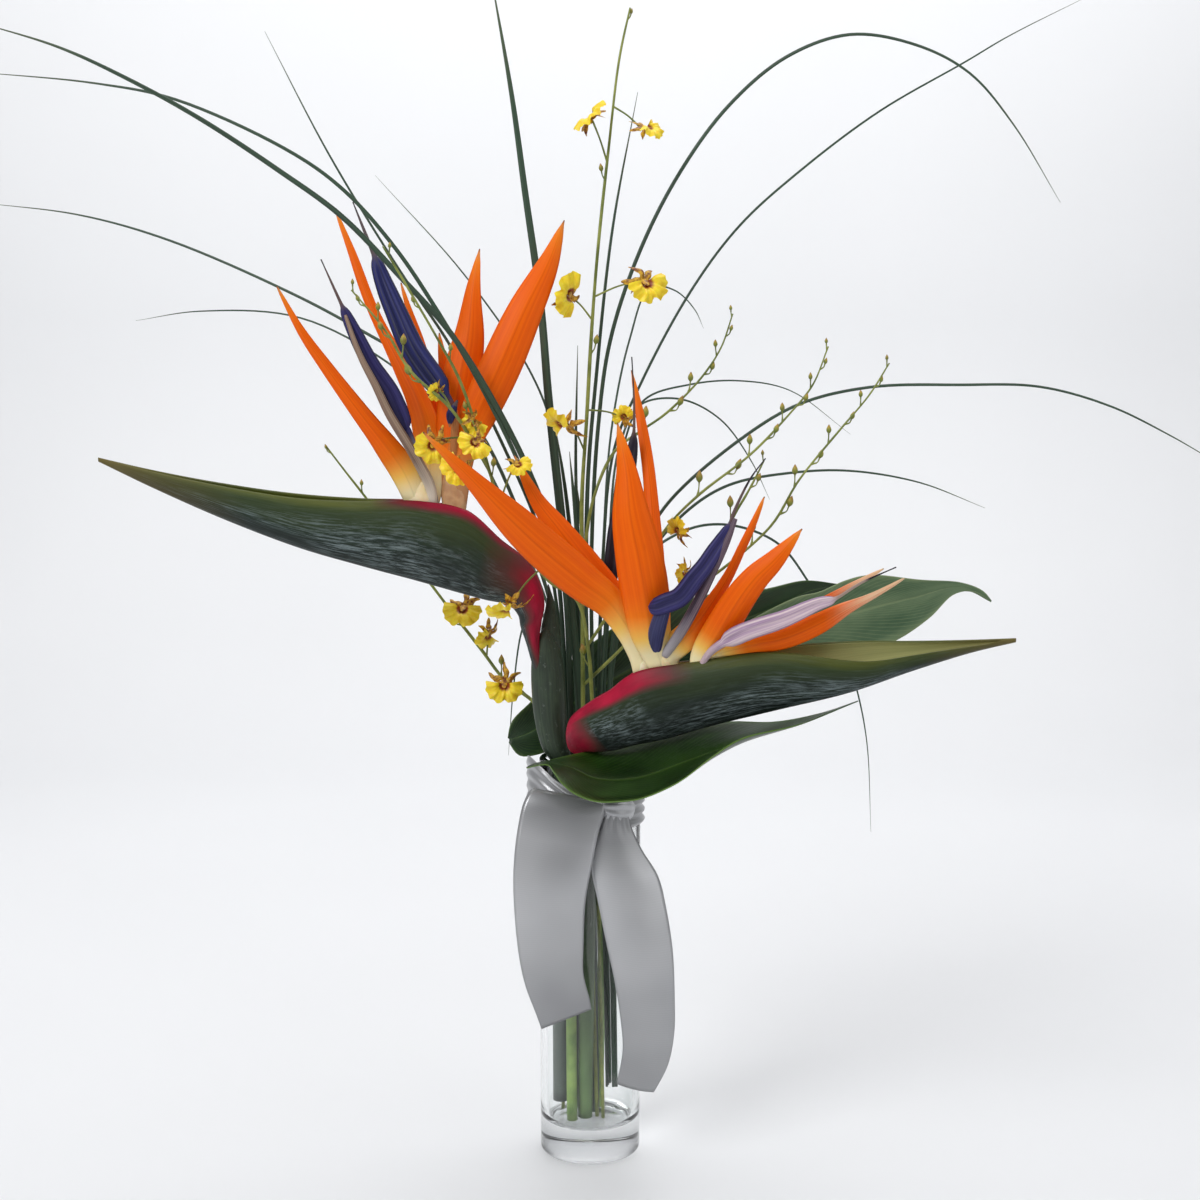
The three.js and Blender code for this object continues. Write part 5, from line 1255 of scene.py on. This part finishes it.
def make_orchid(node, plan, seed):
    mesh = Mesh()
    radius = plan["radius"]
    paths = [Route(plan["stem"])] + [Route(route) for route, _ in plan["branches"]]
    add_tube(mesh, plan["stem"], [radius, radius, 0.8 * radius, 0.45], None, 12, 9, STEM, 0.06)
    add_buds(mesh, plan["stem"], plan["buds"], seed)
    for k, (route, count) in enumerate(plan["branches"], 1):
        add_tube(mesh, route, [0.85, 0.65, 0.35], None, 10, 9, STEM, 0.06)
        add_buds(mesh, route, count, seed + k)
    for flower in plan["flowers"]:
        add_flower(mesh, *flower, paths)
    mesh.piece(node + "_fine", "orchid", node, *ORCHID_LOOKS)


# ---- the arrangement ----
make_vase()
make_ribbon()
make_stalks()
make_bract("left", LEFT_BRACT, BRACT_LEFT, INSIDE_LEFT, 1, 0.3)
make_bract("right", RIGHT_BRACT, BRACT_RIGHT, INSIDE_RIGHT, -1, 1.05)
SEPAL_LOOKS = {"left_2": (SEPAL_TAN, TAN), "right_3": (SEPAL_PALE, CREAM)}
ARROW_LOOKS = {"left_2": ARROW_NAVY, "right_1": ARROW_DARK, "right_3": ARROW_PALE}
for side, plans, style in (("left", LEFT_FLORETS, STYLE_TAN), ("right", RIGHT_FLORETS, STYLE_DUSK)):
    for n, plan in enumerate(plans, 1):
        key = f"{side}_{n}"
        make_floret(key, f"{side}_floret_{n}", plan, *SEPAL_LOOKS.get(key, (SEPAL, CREAM)))
        make_arrow(key, f"{side}_arrow_{n}", plan, ARROW_LOOKS.get(key, ARROW_BLUE), style)
make_leaf("front", LEAF_FRONT, LEAF_GLOSSY)
make_leaf("right", LEAF_RIGHT, LEAF_MATTE)
make_leaf("back", LEAF_BACK, LEAF_DARK)
for node, plan in GRASS.items():
    make_grass(node, plan)
for seed, (node, plan) in zip((3, 13, 23), ORCHIDS.items()):
    make_orchid(node, plan, seed)


# ---- floor, backdrop and light ----
def make_stage():
    """A pale floor that curves up into a backdrop."""
    turn = np.linspace(0.15, math.pi / 2, 12)
    line = [(-1600, 0), (0, 0), (900, 0)]
    line += [(900 + 500 * math.sin(a), 500 - 500 * math.cos(a)) for a in turn] + [(1400, 2600)]
    mesh = Mesh()
    mesh.skin(lambda p: lambda u: np.array([lerp(-2600, 2600, u), p[1], p[2]]),
              [(i / len(line), *p) for i, p in enumerate(line)], 2, v_at=first)
    mesh.make("floor", [floor_look()])


def add_light(name, place, target, size, power):
    light = bpy.data.lights.new(name, "AREA")
    light.shape = "SQUARE"
    light.size = size
    light.energy = power
    lamp = bpy.data.objects.new(name, light)
    lamp.location = place
    aim = np.array(target, float) - np.array(place, float)
    lamp.rotation_euler = (math.atan2(math.hypot(aim[0], aim[1]), -aim[2]), 0,
                           math.atan2(aim[1], aim[0]) - math.pi / 2)
    bpy.context.scene.collection.objects.link(lamp)


make_stage()
add_light("key", (-0.9, -1.1, 1.3), (0, 0, 0.25), 0.8, 16)
add_light("fill", (1.2, -0.9, 0.8), (0, 0, 0.25), 1.2, 4)
add_light("top", (0.1, 0.2, 1.7), (0, 0.1, 0.2), 1.2, 8)
add_light("backdrop_right", (0.6, 0.6, 1.6), (0.35, 1.45, 0.65), 1.2, 8)
add_light("backdrop_left", (-0.8, 0.7, 1.5), (-0.6, 1.45, 0.85), 1.2, 5)
world = bpy.data.worlds.new("studio")
world.use_nodes = True
world.node_tree.nodes["Background"].inputs["Color"].default_value = (0.98, 0.985, 1.0, 1)
world.node_tree.nodes["Background"].inputs["Strength"].default_value = 0.32
bpy.context.scene.world = world
bpy.context.scene.view_settings.view_transform = "Standard"
